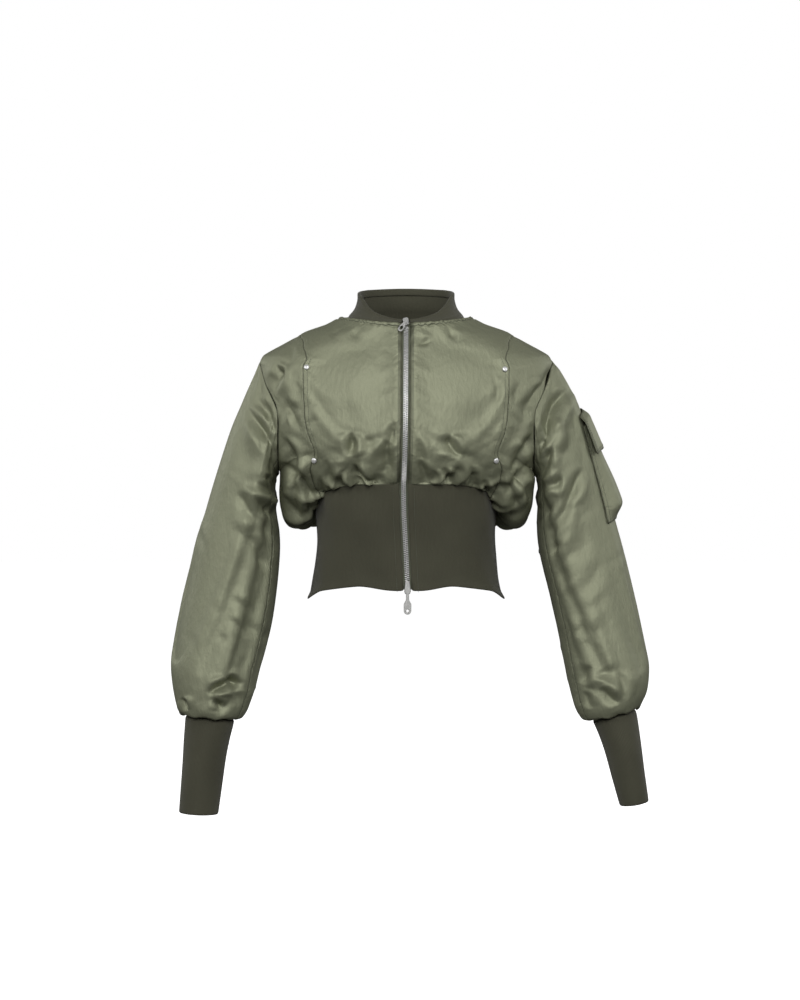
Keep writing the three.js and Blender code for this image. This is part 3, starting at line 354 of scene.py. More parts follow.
FRONT_FOLDS = (
    *drawn_folds((
        # Wearer's right: the long pinches above the waistband seam, from the zip outwards.
        (395, 424, 388, 448, 6, -9), (389, 444, 382, 482, 8, -13), (394, 448, 391, 482, 5, -6),
        (376, 440, 372, 462, 9, 4), (353, 434, 349, 455, 6, -12), (360, 440, 367, 484, 8, 8),
        (354, 466, 367, 485, 5, -10), (346, 452, 336, 480, 9, 5), (343, 470, 337, 491, 4, -7),
        (327, 462, 329, 492, 6, -6), (322, 476, 318, 496, 5, -6),
        # Side panel and the turned-under edge by the right armhole.
        (285, 441, 299, 479, 6, -12), (296, 470, 314, 498, 6, -10), (283, 462, 292, 484, 7, -9),
        (300, 456, 312, 482, 7, 6), (291, 484, 299, 512, 6, -8), (281, 496, 300, 520, 7, -9),
        (306, 500, 313, 520, 5, -9), (276, 362, 281, 378, 4, -5), (282, 366, 272, 390, 6, -7),
        (290, 345, 286, 372, 6, -3), (286, 400, 300, 432, 6, -4), (292, 384, 288, 414, 7, 3),
        # Wearer's left.
        (411, 432, 427, 478, 5, -6), (417, 462, 430, 484, 5, -6), (448, 439, 458, 456, 6, -11),
        (459, 456, 470, 478, 8, 6), (446, 468, 449, 486, 5, -9), (452, 436, 438, 452, 5, -5),
        (470, 468, 477, 491, 5, -7), (484, 478, 489, 494, 4, -6), (433, 470, 437, 486, 4, -5),
        (526, 446, 512, 470, 6, -11), (531, 462, 505, 492, 7, -11), (520, 470, 531, 500, 6, -8),
        (508, 486, 523, 508, 6, -8), (528, 484, 510, 520, 7, -9), (500, 470, 497, 494, 5, -6),
        (516, 440, 522, 462, 8, 5), (534, 436, 524, 452, 5, -7), (545, 384, 529, 402, 5, -7),
        (552, 366, 545, 388, 5, -5), (530, 400, 522, 424, 6, -4),
        # Shoulders and chest: faint.
        (414, 332, 428, 345, 4, -4), (417, 345, 432, 336, 3, -4), (452, 328, 455, 338, 4, -5),
        (334, 325, 331, 336, 5, -3), (353, 326, 358, 337, 5, -3), (386, 346, 398, 360, 3, -2),
        (340, 420, 352, 402, 14, -2), (470, 425, 484, 404, 16, -2), (366, 352, 350, 392, 16, 1.5),
    )),
    *scattered_folds(3, 8, (-176, -235, -122, -90), (-60, 60), (20, 44), 3.5),
    *scattered_folds(4, 8, (122, -235, 176, -90), (-60, 60), (20, 44), 3.5),
    *scattered_folds(5, 8, (-112, -232, 112, -200), (-35, 35), (16, 34), 3.5),
)
BACK_FOLDS = (
    *laid_folds((
        (-92, -196, 36, 104, 9, -11), (-78, -204, 30, 90, 10, 6), (104, -188, -31, 112, 9, -11),
        (88, -196, -26, 96, 10, 6), (12, -214, 8, 82, 8, -10), (30, -220, 14, 70, 9, 5),
        (-142, -128, 62, 76, 8, -9), (148, -138, -55, 70, 8, -9), (-38, -50, 82, 92, 10, -3),
        (58, -92, 70, 88, 13, 3), (-40, -150, 68, 96, 12, -4), (60, -232, -14, 60, 7, -9),
        (-130, -236, 18, 58, 7, -9), (-20, -250, -18, 50, 6, -8), (128, -240, -20, 56, 7, -9),
        (-60, -244, 12, 50, 6, -8), (86, -250, 16, 46, 6, -8), (-160, -214, -26, 60, 7, -9),
        (160, -210, 24, 60, 7, -9), (-170, -160, 40, 60, 7, -8), (172, -164, -40, 60, 7, -8),
    )),
    *scattered_folds(6, 26, (-172, -262, 172, -160), (-50, 50), (22, 56), 4.5),
    *scattered_folds(10, 8, (-172, -130, 172, -30), (-80, 80), (30, 70), 1.8),
)
# Sleeves: creases that fan out from the underarm, the elbow and the drawn-in hem.
RIGHT_SLEEVE_FOLDS = (
    *drawn_folds((
        (247, 409, 279, 462, 7, -10), (252, 398, 276, 430, 8, -6), (262, 402, 281, 436, 6, -8),
        (243, 424, 270, 462, 10, 6), (255, 442, 281, 486, 8, -7), (272, 424, 281, 440, 5, -9),
        (250, 496, 279, 520, 6, -10), (240, 488, 270, 500, 9, 5), (266, 503, 281, 530, 6, -9),
        (262, 476, 282, 500, 6, -7), (232, 494, 256, 520, 8, -6), (246, 540, 272, 566, 7, -6),
        (228, 530, 256, 540, 9, -3), (258, 520, 278, 540, 7, -4), (256, 556, 272, 570, 7, -3),
        (264, 596, 250, 690, 20, -5), (226, 620, 246, 632, 4, -3), (230, 598, 252, 612, 5, -3),
        (216, 634, 228, 640, 5, -2), (210, 693, 228, 680, 5, -11), (226, 680, 242, 684, 5, -10),
        (214, 690, 236, 698, 8, 9), (216, 698, 220, 708, 4, -8), (234, 692, 240, 706, 6, -4),
        (180, 700, 187, 710, 4, -8),
    )),
    *scattered_folds(31, 10, (-205, -330, -168, -170), (20, 70), (20, 44), 4),
    *scattered_folds(32, 6, (-215, -480, -185, -330), (25, 60), (30, 60), 1.4),
    *scattered_folds(34, 10, (-320, -480, -230, -200), (20, 70), (30, 60), 1.0),
)
LEFT_SLEEVE_FOLDS = (
    *drawn_folds((
        (568, 388, 548, 424, 9, -12), (551, 416, 544, 458, 9, -11), (560, 426, 550, 466, 6, -5),
        (562, 420, 548, 452, 11, 7), (588, 470, 569, 502, 6, -8), (572, 500, 556, 532, 7, -7),
        (566, 478, 552, 486, 6, -7), (556, 450, 540, 476, 7, -8), (560, 500, 540, 524, 7, -8),
        (580, 520, 560, 556, 10, 5), (566, 542, 548, 556, 7, -4), (572, 570, 552, 584, 7, -3),
        (604, 560, 584, 600, 9, -3), (586, 624, 576, 636, 6, -4), (600, 610, 584, 634, 10, 3),
        (592, 668, 580, 682, 6, -6), (597, 678, 622, 693, 8, 7), (600, 690, 618, 702, 5, -6),
        (566, 620, 572, 652, 6, -4), (620, 674, 628, 698, 6, -4), (584, 694, 592, 708, 5, -6),
    )),
    *scattered_folds(41, 10, (172, -330, 206, -170), (-70, -20), (20, 44), 4),
    *scattered_folds(42, 6, (190, -480, 228, -330), (-60, -25), (30, 60), 1.4),
    *scattered_folds(44, 10, (232, -480, 322, -200), (-70, -20), (30, 60), 1.0),
)
SLEEVE_BACK_FOLDS = (
    *laid_folds((
        (212, -196, -52, 90, 8, -11), (226, -206, -48, 84, 10, 6), (205, -262, -60, 70, 7, -9),
        (238, -250, -40, 96, 9, -8), (216, -330, -55, 76, 8, -10), (236, -342, -50, 80, 10, 6),
        (262, -360, -35, 84, 9, -8), (240, -400, 48, 70, 8, -8), (268, -432, 40, 80, 9, -7),
        (250, -470, -30, 60, 8, -9), (282, -480, 16, 56, 8, 8), (296, -496, -20, 50, 6, -9),
        (266, -508, 12, 44, 6, -9), (240, -498, 24, 50, 6, -8), (222, -440, 36, 70, 7, -8),
    )),
    *scattered_folds(51, 22, (176, -340, 270, -150), (-75, -15), (20, 56), 4.5),
    *scattered_folds(52, 20, (195, -520, 318, -340), (-60, 60), (20, 50), 4.5),
)


@dataclass(frozen=True)
class Gathers:
    """Pleats of uneven size that run out from a drawn-in seam and die away on the panel.

    Each pair is a range: spacing and width in degrees, rise in millimetres, reach in rings or sections.
    """

    seed: int
    spacing: tuple[float, float]
    rise: tuple[float, float]
    width: tuple[float, float]
    reach: tuple[float, float]
    sway: float

    def height(self, degrees: Array, far: Array) -> Array:
        """How far the pleats lift the surface.

        Args:
            degrees: Angles round the seam.
            far: Distance from the seam, in the same unit as the reach.

        Returns:
            Lift in millimetres.
        """
        dice = np.random.default_rng(self.seed)
        lift = np.zeros_like(degrees)
        turn = np.mod(degrees, 360)
        angle, end = 4.0, 356.0
        while angle < end:
            rise, width = dice.uniform(*self.rise), dice.uniform(*self.width)
            reach, sway = dice.uniform(*self.reach), dice.uniform(-self.sway, self.sway)
            bow = dice.uniform(-0.5, 0.5) * self.sway
            share = far / reach
            centre = angle + sway * share + bow * share**2
            off = (np.mod(turn - centre + 180, 360) - 180) / (width * (0.62 + 0.75 * share))
            crest = np.exp(-np.abs(off) ** 1.5) - 0.55 * np.exp(-((off - 1.5) ** 2))
            lift += rise * crest * ease(0, 0.16, share) * (1 - ease(0.35, 1, share))
            angle += dice.uniform(*self.spacing)
        return lift


WAIST_GATHERS = Gathers(12, (8, 18), (5, 10), (2.4, 4.4), (2.6, 6.4), 8)
FINE_WAIST_GATHERS = Gathers(21, (4.5, 11), (0.6, 1.8), (1.2, 2.2), (0.9, 2.4), 3)
WRIST_GATHERS = Gathers(7, (30, 62), (1.6, 4.2), (7, 13), (0.9, 2.2), 14)
FINE_WRIST_GATHERS = Gathers(9, (12, 26), (0.4, 1.2), (2.8, 5), (0.4, 1.0), 5)
SHOULDER_GATHERS = Gathers(15, (16, 34), (0.4, 1.2), (3.5, 7), (0.6, 1.8), 10)
NECK_GATHERS = Gathers(18, (2.2, 5.6), (0.8, 2.2), (0.7, 1.5), (0.45, 1.1), 2)


def ring_points(row: dict[str, Array], degrees: Array) -> Array:
    """Points of a body or waistband ring.

    Args:
        row: Columns of the ring.
        degrees: Angles from the centre front, positive towards the wearer's left.

    Returns:
        Points in millimetres.
    """
    sine, cosine = np.sin(np.radians(degrees)), np.cos(np.radians(degrees))
    turn = np.abs(np.degrees(np.arctan2(sine, cosine)))
    fore = row["front"] + (row["side"] - row["front"]) * ease(row["turn"], 90, turn)
    aft = row["back"] + (row["side"] - row["back"]) * ease(0, 90, 180 - turn)
    z = np.where(cosine > 0, fore, aft)
    x = row["half"] * np.sign(sine) * np.abs(sine) ** POWER
    y = np.where(cosine > 0, -row["fore"], row["aft"]) * np.abs(cosine) ** POWER
    shift = np.where(cosine > 0, zip_line(z) * (1 - ease(0, 70, np.abs(x))), 0)
    return np.stack([x + shift, y, z], axis=-1)


def edge_angle(half: Array, reach: float = FRONT_EDGE) -> Array:
    """Angle at which a ring reaches the front edge beside the zip."""
    return np.degrees(np.arcsin(np.minimum(1, reach / half) ** (1 / POWER)))


def outward(surface: Surface, u: Array, v: Array, du: float, dv: float,
            high: float) -> Array:
    """Outward direction of a surface of two numbers, by differences.

    Args:
        surface: The surface.
        u: First number.
        v: Second number.
        du: Step of the first.
        dv: Step of the second.
        high: Highest second number.

    Returns:
        Unit vectors.
    """
    across = surface(u + du, v) - surface(u - du, v)
    along = surface(u, np.minimum(v + dv, high)) - surface(u, np.maximum(v - dv, 0))
    return unit(np.cross(across, along))


def body_base(degrees: Array, at: Array) -> Array:
    """Body surface without folds, its rings averaged near the shoulder so that it rolls over softly.

    Args:
        degrees: Angles from the centre front.
        at: Fractional rings.

    Returns:
        Points in millimetres.
    """
    soft = SOFT_REACH * ease(*SOFT_RISE, at) * (1 - ease(*SOFT_FALL, at))
    below, middle, above = (ring_points(BODY.at(place), degrees) for place in (at - soft, at, at + soft))
    return (below + 2 * middle + above) / 4


def body_normal(degrees: Array, at: Array) -> Array:
    """Outward direction of the body surface."""
    return outward(body_base, degrees, at, 0.5, 0.25, BODY.last)


def flat_height(folds: Folds, across: Array, up: Array) -> Array:
    """Sum of the lifts of some folds on a surface seen flat."""
    return sum(fold.height(across, up) for fold in folds)


def body_lift(degrees: Array, at: Array) -> Array:
    """How far the laid folds and gathers lift the body surface.

    Args:
        degrees: Angles from the centre front.
        at: Fractional rings.

    Returns:
        Lift in millimetres.
    """
    base, row = body_base(degrees, at), BODY.at(at)
    across, up = base[..., 0], base[..., 2]
    cosine = np.cos(np.radians(degrees))
    front = cosine > 0
    # Folds die away at the sides, the waist and the neck, beside the zip and at the front seam.
    fade = ease(0.02, 0.3, np.abs(cosine)) * ease(0.1, 1.2, at) * ease(0.2, 1.6, BODY.last - at)
    fade = fade * np.where(front, ease(9, 20, np.abs(across)), 1)
    beside = np.abs(np.minimum(np.mod(degrees, 360), np.mod(-degrees, 360)) - row["seam"]) * row["half"] / 60
    fade = fade * (0.2 + 0.8 * ease(0, 14, beside))
    lift = np.where(front, flat_height(FRONT_FOLDS, across, up), flat_height(BACK_FOLDS, across, up)) * fade
    gathers = WAIST_GATHERS.height(degrees, at) + FINE_WAIST_GATHERS.height(degrees, at)
    gathers += NECK_GATHERS.height(degrees, BODY.last - at)
    lift = lift + gathers * ease(8, 16, np.abs(across) + np.where(front, 0, 40))
    # The cloth dips towards the stitching of the zip.
    return lift - np.where(front, 1.8 * (1 - ease(7.5, 12, np.abs(across - zip_line(up)))), 0)


@dataclass(frozen=True)
class SleeveForm:
    """Surface of one sleeve or cuff."""

    side: int
    sections: Sections
    folds: Folds = ()

    def oval(self, step: Array, angle: Array) -> Array:
        """Plain oval sections.

        Args:
            step: Fractional section.
            angle: Degrees round, 0 outermost and 90 at the front.

        Returns:
            Points in millimetres.
        """
        row = self.sections.at(step)
        outer = np.stack([row["ox"] * self.side, row["y"], row["oz"]], axis=-1)
        inner = np.stack([row["ix"] * self.side, row["y"], row["iz"]], axis=-1)
        sine, cosine = np.sin(np.radians(angle)), np.cos(np.radians(angle))
        point = (outer + inner) / 2 + (outer - inner) / 2 * cosine[..., None]
        depth = np.where(sine > 0, row["fore"], row["aft"]) * sine
        point[..., 1] -= depth
        return point

    def plain(self, step: Array, angle: Array) -> Array:
        """Sections that grow out of the true armhole, without folds.

        Args:
            step: Fractional section.
            angle: Degrees round.

        Returns:
            Points in millimetres.
        """
        point = self.oval(step, angle)
        if "keep" not in self.sections.columns:
            return point
        keep = np.clip(self.sections.at(step)["keep"], 0, 1)
        turn = np.mod(angle, 360)
        climb = np.abs(180 - turn)
        at = UNDERARM_RING + climb / 180 * (TIP_RING - UNDERARM_RING)
        row = BODY.at(at)
        limit = np.where(turn <= 180, row["arm_fore"], row["arm_aft"])
        offset = body_base(limit * self.side, at) - self.oval(np.zeros_like(step), angle)
        return point + offset * keep[..., None]

    def normal(self, step: Array, angle: Array) -> Array:
        """Outward direction."""
        way = outward(lambda u, v: self.plain(v, u), angle, step, 1, 0.25, self.sections.last)
        return way * self.side

    def under_pocket(self, step: Array, turn: Array) -> Array:
        """How much of the relief is left where the sleeve pocket lies.

        Args:
            step: Fractional section.
            turn: Degrees round, from 0 to 360.

        Returns:
            Shares from 0.15 to 1.
        """
        off = np.abs(np.mod(turn - POCKET_MIDDLE + 180, 360) - 180)
        return 1 - 0.85 * (1 - ease(48, 62, off)) * ease(2.6, 3.4, step) * (1 - ease(6.8, 7.8, step))

    def lift(self, step: Array, angle: Array) -> Array:
        """How far the laid folds and gathers lift the surface.

        Args:
            step: Fractional section.
            angle: Degrees round.

        Returns:
            Lift in millimetres.
        """
        last, turn = self.sections.last, np.mod(angle, 360)
        base, sine = self.plain(step, angle), np.sin(np.radians(angle))
        across, up = base[..., 0], base[..., 2]
        fore = flat_height(self.folds, across, up) * ease(0.03, 0.32, sine)
        aft = flat_height(SLEEVE_BACK_FOLDS, across * self.side, up) * ease(0.03, 0.32, -sine)
        lift = (fore + aft) * ease(0.1, 1.2, step) * ease(0.2, 1.2, last - step)
        lift += WRIST_GATHERS.height(angle, last - step) + FINE_WRIST_GATHERS.height(angle, last - step)
        lift += SHOULDER_GATHERS.height(angle * self.side, step)
        beside = np.minimum(np.abs(turn - FRONT_SEAM), np.abs(turn - BACK_SEAM))
        lift *= 0.2 + 0.8 * ease(0, 16, beside)
        return lift * self.under_pocket(step, turn) if self.side > 0 else lift

    def form(self, step: Array, angle: Array) -> Array:
        """Surface with its laid folds and gathers.

        Args:
            step: Fractional section.
            angle: Degrees round.

        Returns:
            Points in millimetres.
        """
        return self.plain(step, angle) + self.normal(step, angle) * self.lift(step, angle)[..., None]


RIGHT = SleeveForm(-1, RIGHT_SLEEVE, RIGHT_SLEEVE_FOLDS)
LEFT = SleeveForm(1, LEFT_SLEEVE, LEFT_SLEEVE_FOLDS)


def linked(name: str, data: bpy.types.ID) -> Object:
    """Makes an object of some data and links it into the scene."""
    thing = bpy.data.objects.new(name, data)
    bpy.context.scene.collection.objects.link(thing)
    return thing


def new_mesh(name: str, points: Array, faces: Array | tuple = ()) -> bpy.types.Mesh:
    """Makes a mesh of points in millimetres and of faces."""
    mesh = bpy.data.meshes.new(name)
    mesh.from_pydata((points * MM).tolist(), [], np.asarray(faces).tolist())
    return mesh


@dataclass
class Patch:
    """Grid of points for one cut piece, in millimetres, outer face only."""

    name: str
    points: Array
    normals: Array
    free: tuple[str, ...] = ()
    lines: Insets = ()
    pins: Array | None = None
    slack: Array | None = None

    def quads(self) -> Array:
        """Faces of the grid, as four point numbers each."""
        index = np.arange(self.points[..., 0].size).reshape(self.points.shape[:2])
        corners = (index[:-1, :-1], index[:-1, 1:], index[1:, 1:], index[1:, :-1])
        return np.stack(corners, axis=-1).reshape(-1, 4)

    def faces_out(self) -> bool:
        """Whether the faces of the grid point the way of its normals.

        Returns:
            True if they do, taken together.
        """
        quads, points = self.quads(), self.points.reshape(-1, 3)
        first = points[quads[:, 0]]
        way = np.cross(points[quads[:, 1]] - first, points[quads[:, 3]] - first)
        return bool((way * self.normals.reshape(-1, 3)[quads[:, 0]]).sum() > 0)

    def lengths(self) -> tuple[Array, Array]:
        """Distances along the rows and down the columns, in millimetres.

        Returns:
            Distance across and distance down for each point.
        """
        points = self.points
        step_u = np.linalg.norm(np.diff(points, axis=1), axis=-1)
        step_v = np.linalg.norm(np.diff(points, axis=0), axis=-1)
        u = np.concatenate([np.zeros((points.shape[0], 1)), np.cumsum(step_u, axis=1)], axis=1)
        v = np.concatenate([np.zeros((1, points.shape[1])), np.cumsum(step_v, axis=0)], axis=0)
        return u, v

    def edge_distances(self) -> dict[str, Array]:
        """Distance of each point to each of the four edges, in millimetres."""
        u, v = self.lengths()
        return {"left": u, "right": u[:, -1:] - u, "first": v, "last": v[-1:, :] - v}

    def seam_distance(self) -> Array:
        """Distance of each point to the nearest sewn edge, in millimetres."""
        spans = self.edge_distances()
        return np.minimum.reduce([span for edge, span in spans.items() if edge not in self.free])

    def pucker_distance(self) -> Array:
        """Distance of each point to the nearest sewn edge or line of stitching.

        Returns:
            Distances in millimetres.
        """
        near, spans = self.seam_distance(), self.edge_distances()
        for edge, inset in self.lines:
            near = np.minimum(near, np.abs(spans[edge] - inset))
        return near

    def inset_line(self, edge: str, inset: float, low: float = 0.0, high: float = 1.0) -> Line:
        """Line on the piece beside one of its edges.

        Args:
            edge: left, right, first or last.
            inset: Distance from the edge in millimetres.
            low: Share of the edge where the line begins.
            high: Share of the edge where it ends.

        Returns:
            Points and outward directions along the line.
        """
        u, v = self.lengths()
        points, normals, span = self.points, self.normals, u
        if edge in ("first", "last"):
            points, normals, span = points.transpose(1, 0, 2), normals.transpose(1, 0, 2), v.T
        if edge in ("right", "last"):
            points, normals, span = points[:, ::-1], normals[:, ::-1], (span[:, -1:] - span)[:, ::-1]
        count = len(points)
        chosen = range(int(low * (count - 1)), int(high * (count - 1)) + 1)
        line, ways = [], []
        for i in chosen:
            line.append([np.interp(inset, span[i], points[i, :, k]) for k in range(3)])
            ways.append([np.interp(inset, span[i], normals[i, :, k]) for k in range(3)])
        return np.array(line), unit(np.array(ways))

    def turned_in(self, allowance: float) -> "Patch":
        """The same piece with its sewn edges turned in, so that neighbours meet under the surface.

        Args:
            allowance: How far each edge goes in, in millimetres.

        Returns:
            The larger piece.
        """
        points, normals = self.points, self.normals
        for edge, axis, end in (("first", 0, 0), ("last", 0, -1), ("left", 1, 0), ("right", 1, -1)):
            if edge in self.free:
                continue
            rim = np.take(points, [end], axis=axis)
            way = np.take(normals, [end], axis=axis)
            row = rim - way * allowance
            parts, ways = ([row, points], [way, normals]) if end == 0 else ([points, row], [normals, way])
            points, normals = np.concatenate(parts, axis=axis), np.concatenate(ways, axis=axis)
        return Patch(self.name, points, normals, self.free)


def make_mesh(name: str, patch: Patch, near: Array) -> Object:
    """Turns a patch into a mesh object with flat-cloth UVs and a seam-distance attribute.

    Args:
        name: Name of the new object.
        patch: The patch.
        near: Distance of each point to the nearest sewing, in millimetres.

    Returns:
        The object, linked into the scene.
    """
    u, v = patch.lengths()
    mesh = new_mesh(name, patch.points.reshape(-1, 3), patch.quads())
    if not patch.faces_out():
        mesh.flip_normals()
    layer = mesh.uv_layers.new(name="cloth")
    loops = np.empty(len(mesh.loops), dtype=np.int32)
    mesh.loops.foreach_get("vertex_index", loops)
    mean_u = u.mean(axis=0, keepdims=True).repeat(len(u), axis=0)
    flat = np.stack([mean_u.reshape(-1)[loops], v.reshape(-1)[loops]], axis=-1) * MM
    layer.data.foreach_set("uv", flat.reshape(-1))
    store = mesh.attributes.new("seam", "FLOAT", "POINT")
    store.data.foreach_set("value", (near * MM).reshape(-1).astype(np.float32))
    mesh.polygons.foreach_set("use_smooth", np.ones(len(mesh.polygons), dtype=bool))
    return linked(name, mesh)


@dataclass(frozen=True)
class ClothSettling:
    """Short cloth run that lets pinned panels swell and buckle as lightly padded cloth does.

    Growth is the spare width of cloth with full slack, pinned is the distance from a seam that is held, and
    cap is the furthest that a point may move.
    """

    frames: int = 26
    quality: int = 5
    mass: float = 0.12
    stiffness: float = 12
    shear: float = 6
    bending: float = 0.08
    damping: float = 2
    pressure: float = 1.0
    gravity: float = 0.25
    growth: float = 0.15
    levels: int = 20
    pinned: float = 0.5
    cap: float = 5.5

    def joined(self, patches: list[Patch], points: Array) -> Object:
        """Joins the patches into one object, with its pins and its slack as vertex groups.

        Args:
            patches: The patches.
            points: All their points in a row.

        Returns:
            The object.
        """
        faces, pins, slacks, start = [], [], [], 0
        for patch in patches:
            quads = patch.quads()
            faces.append((quads if patch.faces_out() else quads[:, ::-1]) + start)
            held = patch.seam_distance() < self.pinned
            pins.append((held if patch.pins is None else held | patch.pins).reshape(-1))
            slacks.append(np.clip(patch.slack, 0.0, 1.0).reshape(-1))
            start += held.size
        piece = linked("settling", new_mesh("settling", points, np.concatenate(faces)))
        group = piece.vertex_groups.new(name="pins")
        group.add(np.nonzero(np.concatenate(pins))[0].tolist(), 1.0, "REPLACE")
        loose = piece.vertex_groups.new(name="slack")
        levels = np.round(np.concatenate(slacks) * self.levels).astype(int)
        for level in range(self.levels + 1):
            loose.add(np.nonzero(levels == level)[0].tolist(), level / self.levels, "REPLACE")
        return piece

    def settled(self, piece: Object) -> Array:
        """Runs the cloth and reads where it comes to rest.

        Args:
            piece: The joined patches.

        Returns:
            Points in millimetres.
        """
        cloth = piece.modifiers.new("cloth", "CLOTH")
        settings = cloth.settings
        settings.quality, settings.mass, settings.air_damping = self.quality, self.mass, self.damping
        settings.tension_stiffness = settings.compression_stiffness = self.stiffness
        settings.shear_stiffness, settings.bending_stiffness = self.shear, self.bending
        settings.vertex_group_mass, settings.vertex_group_shrink = "pins", "slack"
        settings.shrink_min, settings.shrink_max = 0.0, -self.growth
        settings.use_pressure, settings.uniform_pressure_force = True, self.pressure
        settings.effector_weights.gravity = self.gravity
        cloth.collision_settings.use_collision = False
        cloth.point_cache.frame_start, cloth.point_cache.frame_end = 1, self.frames + 1
        scene = bpy.context.scene
        for number in range(1, self.frames + 1):
            scene.frame_set(number)
        mesh = piece.evaluated_get(bpy.context.evaluated_depsgraph_get()).data
        moved = np.empty(len(mesh.vertices) * 3)
        mesh.vertices.foreach_get("co", moved)
        scene.frame_set(1)
        return moved.reshape(-1, 3) / MM

    def run(self, patches: list[Patch]) -> None:
        """Moves the points of the patches to where the cloth comes to rest.

        Args:
            patches: Patches whose sewn edges stay where they are.
        """
        points = np.concatenate([patch.points.reshape(-1, 3) for patch in patches])
        piece = self.joined(patches, points)
        shift = self.settled(piece) - points
        mesh = piece.data
        bpy.data.objects.remove(piece, do_unlink=True)
        bpy.data.meshes.remove(mesh)
        size = np.linalg.norm(shift, axis=-1, keepdims=True)
        LOG.info("cloth moved %.1f mm at most, %.2f mm on average", size.max(), size.mean())
        points = points + shift * np.minimum(1, self.cap / np.maximum(size, 1e-6))
        start = 0
        for patch in patches:
            end = start + patch.points[..., 0].size
            patch.points = points[start:end].reshape(patch.points.shape)
            start = end


def finer(shift: Array, shape: tuple[int, ...]) -> Array:
    """Carries shifts of a coarse grid over to a finer one, evened out, the edges left alone.

    Args:
        shift: Shifts on the coarse grid.
        shape: Shape of the finer grid.

    Returns:
        Shifts on the finer grid.
    """
    down, across = (np.linspace(0, old - 1, new) for old, new in zip(shift.shape[:2], shape[:2]))
    i = np.minimum(down.astype(int), shift.shape[0] - 2)
    j = np.minimum(across.astype(int), shift.shape[1] - 2)
    s, t = (down - i)[:, None, None], (across - j)[None, :, None]
    near = shift[i][:, j] * (1 - s) + shift[i + 1][:, j] * s
    far = shift[i][:, j + 1] * (1 - s) + shift[i + 1][:, j + 1] * s
    fine = near * (1 - t) + far * t
    own, neighbour, rounds = 0.4, 0.15, 3
    for _ in range(rounds):
        around = fine[:-2, 1:-1] + fine[2:, 1:-1] + fine[1:-1, :-2] + fine[1:-1, 2:]
        even = fine.copy()
        even[1:-1, 1:-1] = fine[1:-1, 1:-1] * own + around * neighbour
        fine = even
    return fine


class Graph:
    """Small helper that adds and links nodes of a tree."""

    def __init__(self, tree: Tree) -> None:
        """Keeps the tree."""
        self.tree = tree

    def add(self, kind: str, inputs: dict[str | int, object] | None = None, **settings: object) -> Node:
        """Adds a node.

        Args:
            kind: Node type.
            inputs: Socket values, or sockets to link from.
            settings: Properties of the node.

        Returns:
            The node.
        """
        node = self.tree.nodes.new(kind)
        for name, value in settings.items():
            setattr(node, name, value)
        for key, value in (inputs or {}).items():
            if isinstance(value, Socket):
                self.tree.links.new(value, node.inputs[key])
            else:
                node.inputs[key].default_value = value
        return node

    def math(self, operation: str, *values: object) -> Socket:
        """Adds a math node and returns its value."""
        return self.add("ShaderNodeMath", dict(enumerate(values)), operation=operation).outputs[0]

    def times(self, *values: object) -> Socket:
        """Adds a product and returns it."""
        return self.math("MULTIPLY", *values)

    def plus(self, *values: object) -> Socket:
        """Adds a sum and returns it."""
        return self.math("ADD", *values)

    def link(self, start: Socket, end: Socket) -> None:
        """Links two sockets."""
        self.tree.links.new(start, end)

    def noise(self, place: Socket, scale: object, **more: float) -> Socket:
        """Adds a noise texture and returns its value."""
        return self.add("ShaderNodeTexNoise", {"Vector": place, "Scale": scale} | more).outputs["Fac"]

    def mix(self, share: Socket, dark: Triple, light: Triple) -> Socket:
        """Adds a mix of two colours and returns it.

        Args:
            share: Share of the second colour.
            dark: First colour.
            light: Second colour.

        Returns:
            The mixed colour. The node's sockets share their names, so numbers pick them.
        """
        first, second, mixed = 6, 7, 2
        node = self.add("ShaderNodeMix", {"Factor": share, first: (*dark, 1), second: (*light, 1)},
                        data_type="RGBA")
        return node.outputs[mixed]

    def bump(self, shader: Node, height: Socket, strength: float, depth: float) -> None:
        """Feeds a height into a shader's normal."""
        node = self.add("ShaderNodeBump", {"Height": height, "Strength": strength, "Distance": depth})
        self.link(node.outputs["Normal"], shader.inputs["Normal"])


def new_material(name: str) -> tuple[Material, Graph, Node]:
    """Starts a material.

    Args:
        name: Its name.

    Returns:
        The material, its graph and its shader.
    """
    material = bpy.data.materials.new(name)
    material.use_nodes = True
    return material, Graph(material.node_tree), material.node_tree.nodes["Principled BSDF"]


def effect_group(name: str, inputs: dict[str, float], outputs: tuple[str, ...]) -> tuple[Graph, dict, dict]:
    """Starts a shader node group with named sockets.

    Args:
        name: Name of the group.
        inputs: Names and usual values.
        outputs: Names of the outputs.

    Returns:
        The graph, its input sockets and its output sockets by name.
    """
    tree = bpy.data.node_groups.new(name, "ShaderNodeTree")
    for key, value in inputs.items():
        socket = tree.interface.new_socket(name=key, in_out="INPUT", socket_type="NodeSocketFloat")
        socket.default_value = value
    for key in outputs:
        tree.interface.new_socket(name=key, in_out="OUTPUT", socket_type="NodeSocketFloat")
    graph = Graph(tree)
    start, end = graph.add("NodeGroupInput"), graph.add("NodeGroupOutput")
    return graph, {key: start.outputs[key] for key in inputs}, {key: end.inputs[key] for key in outputs}


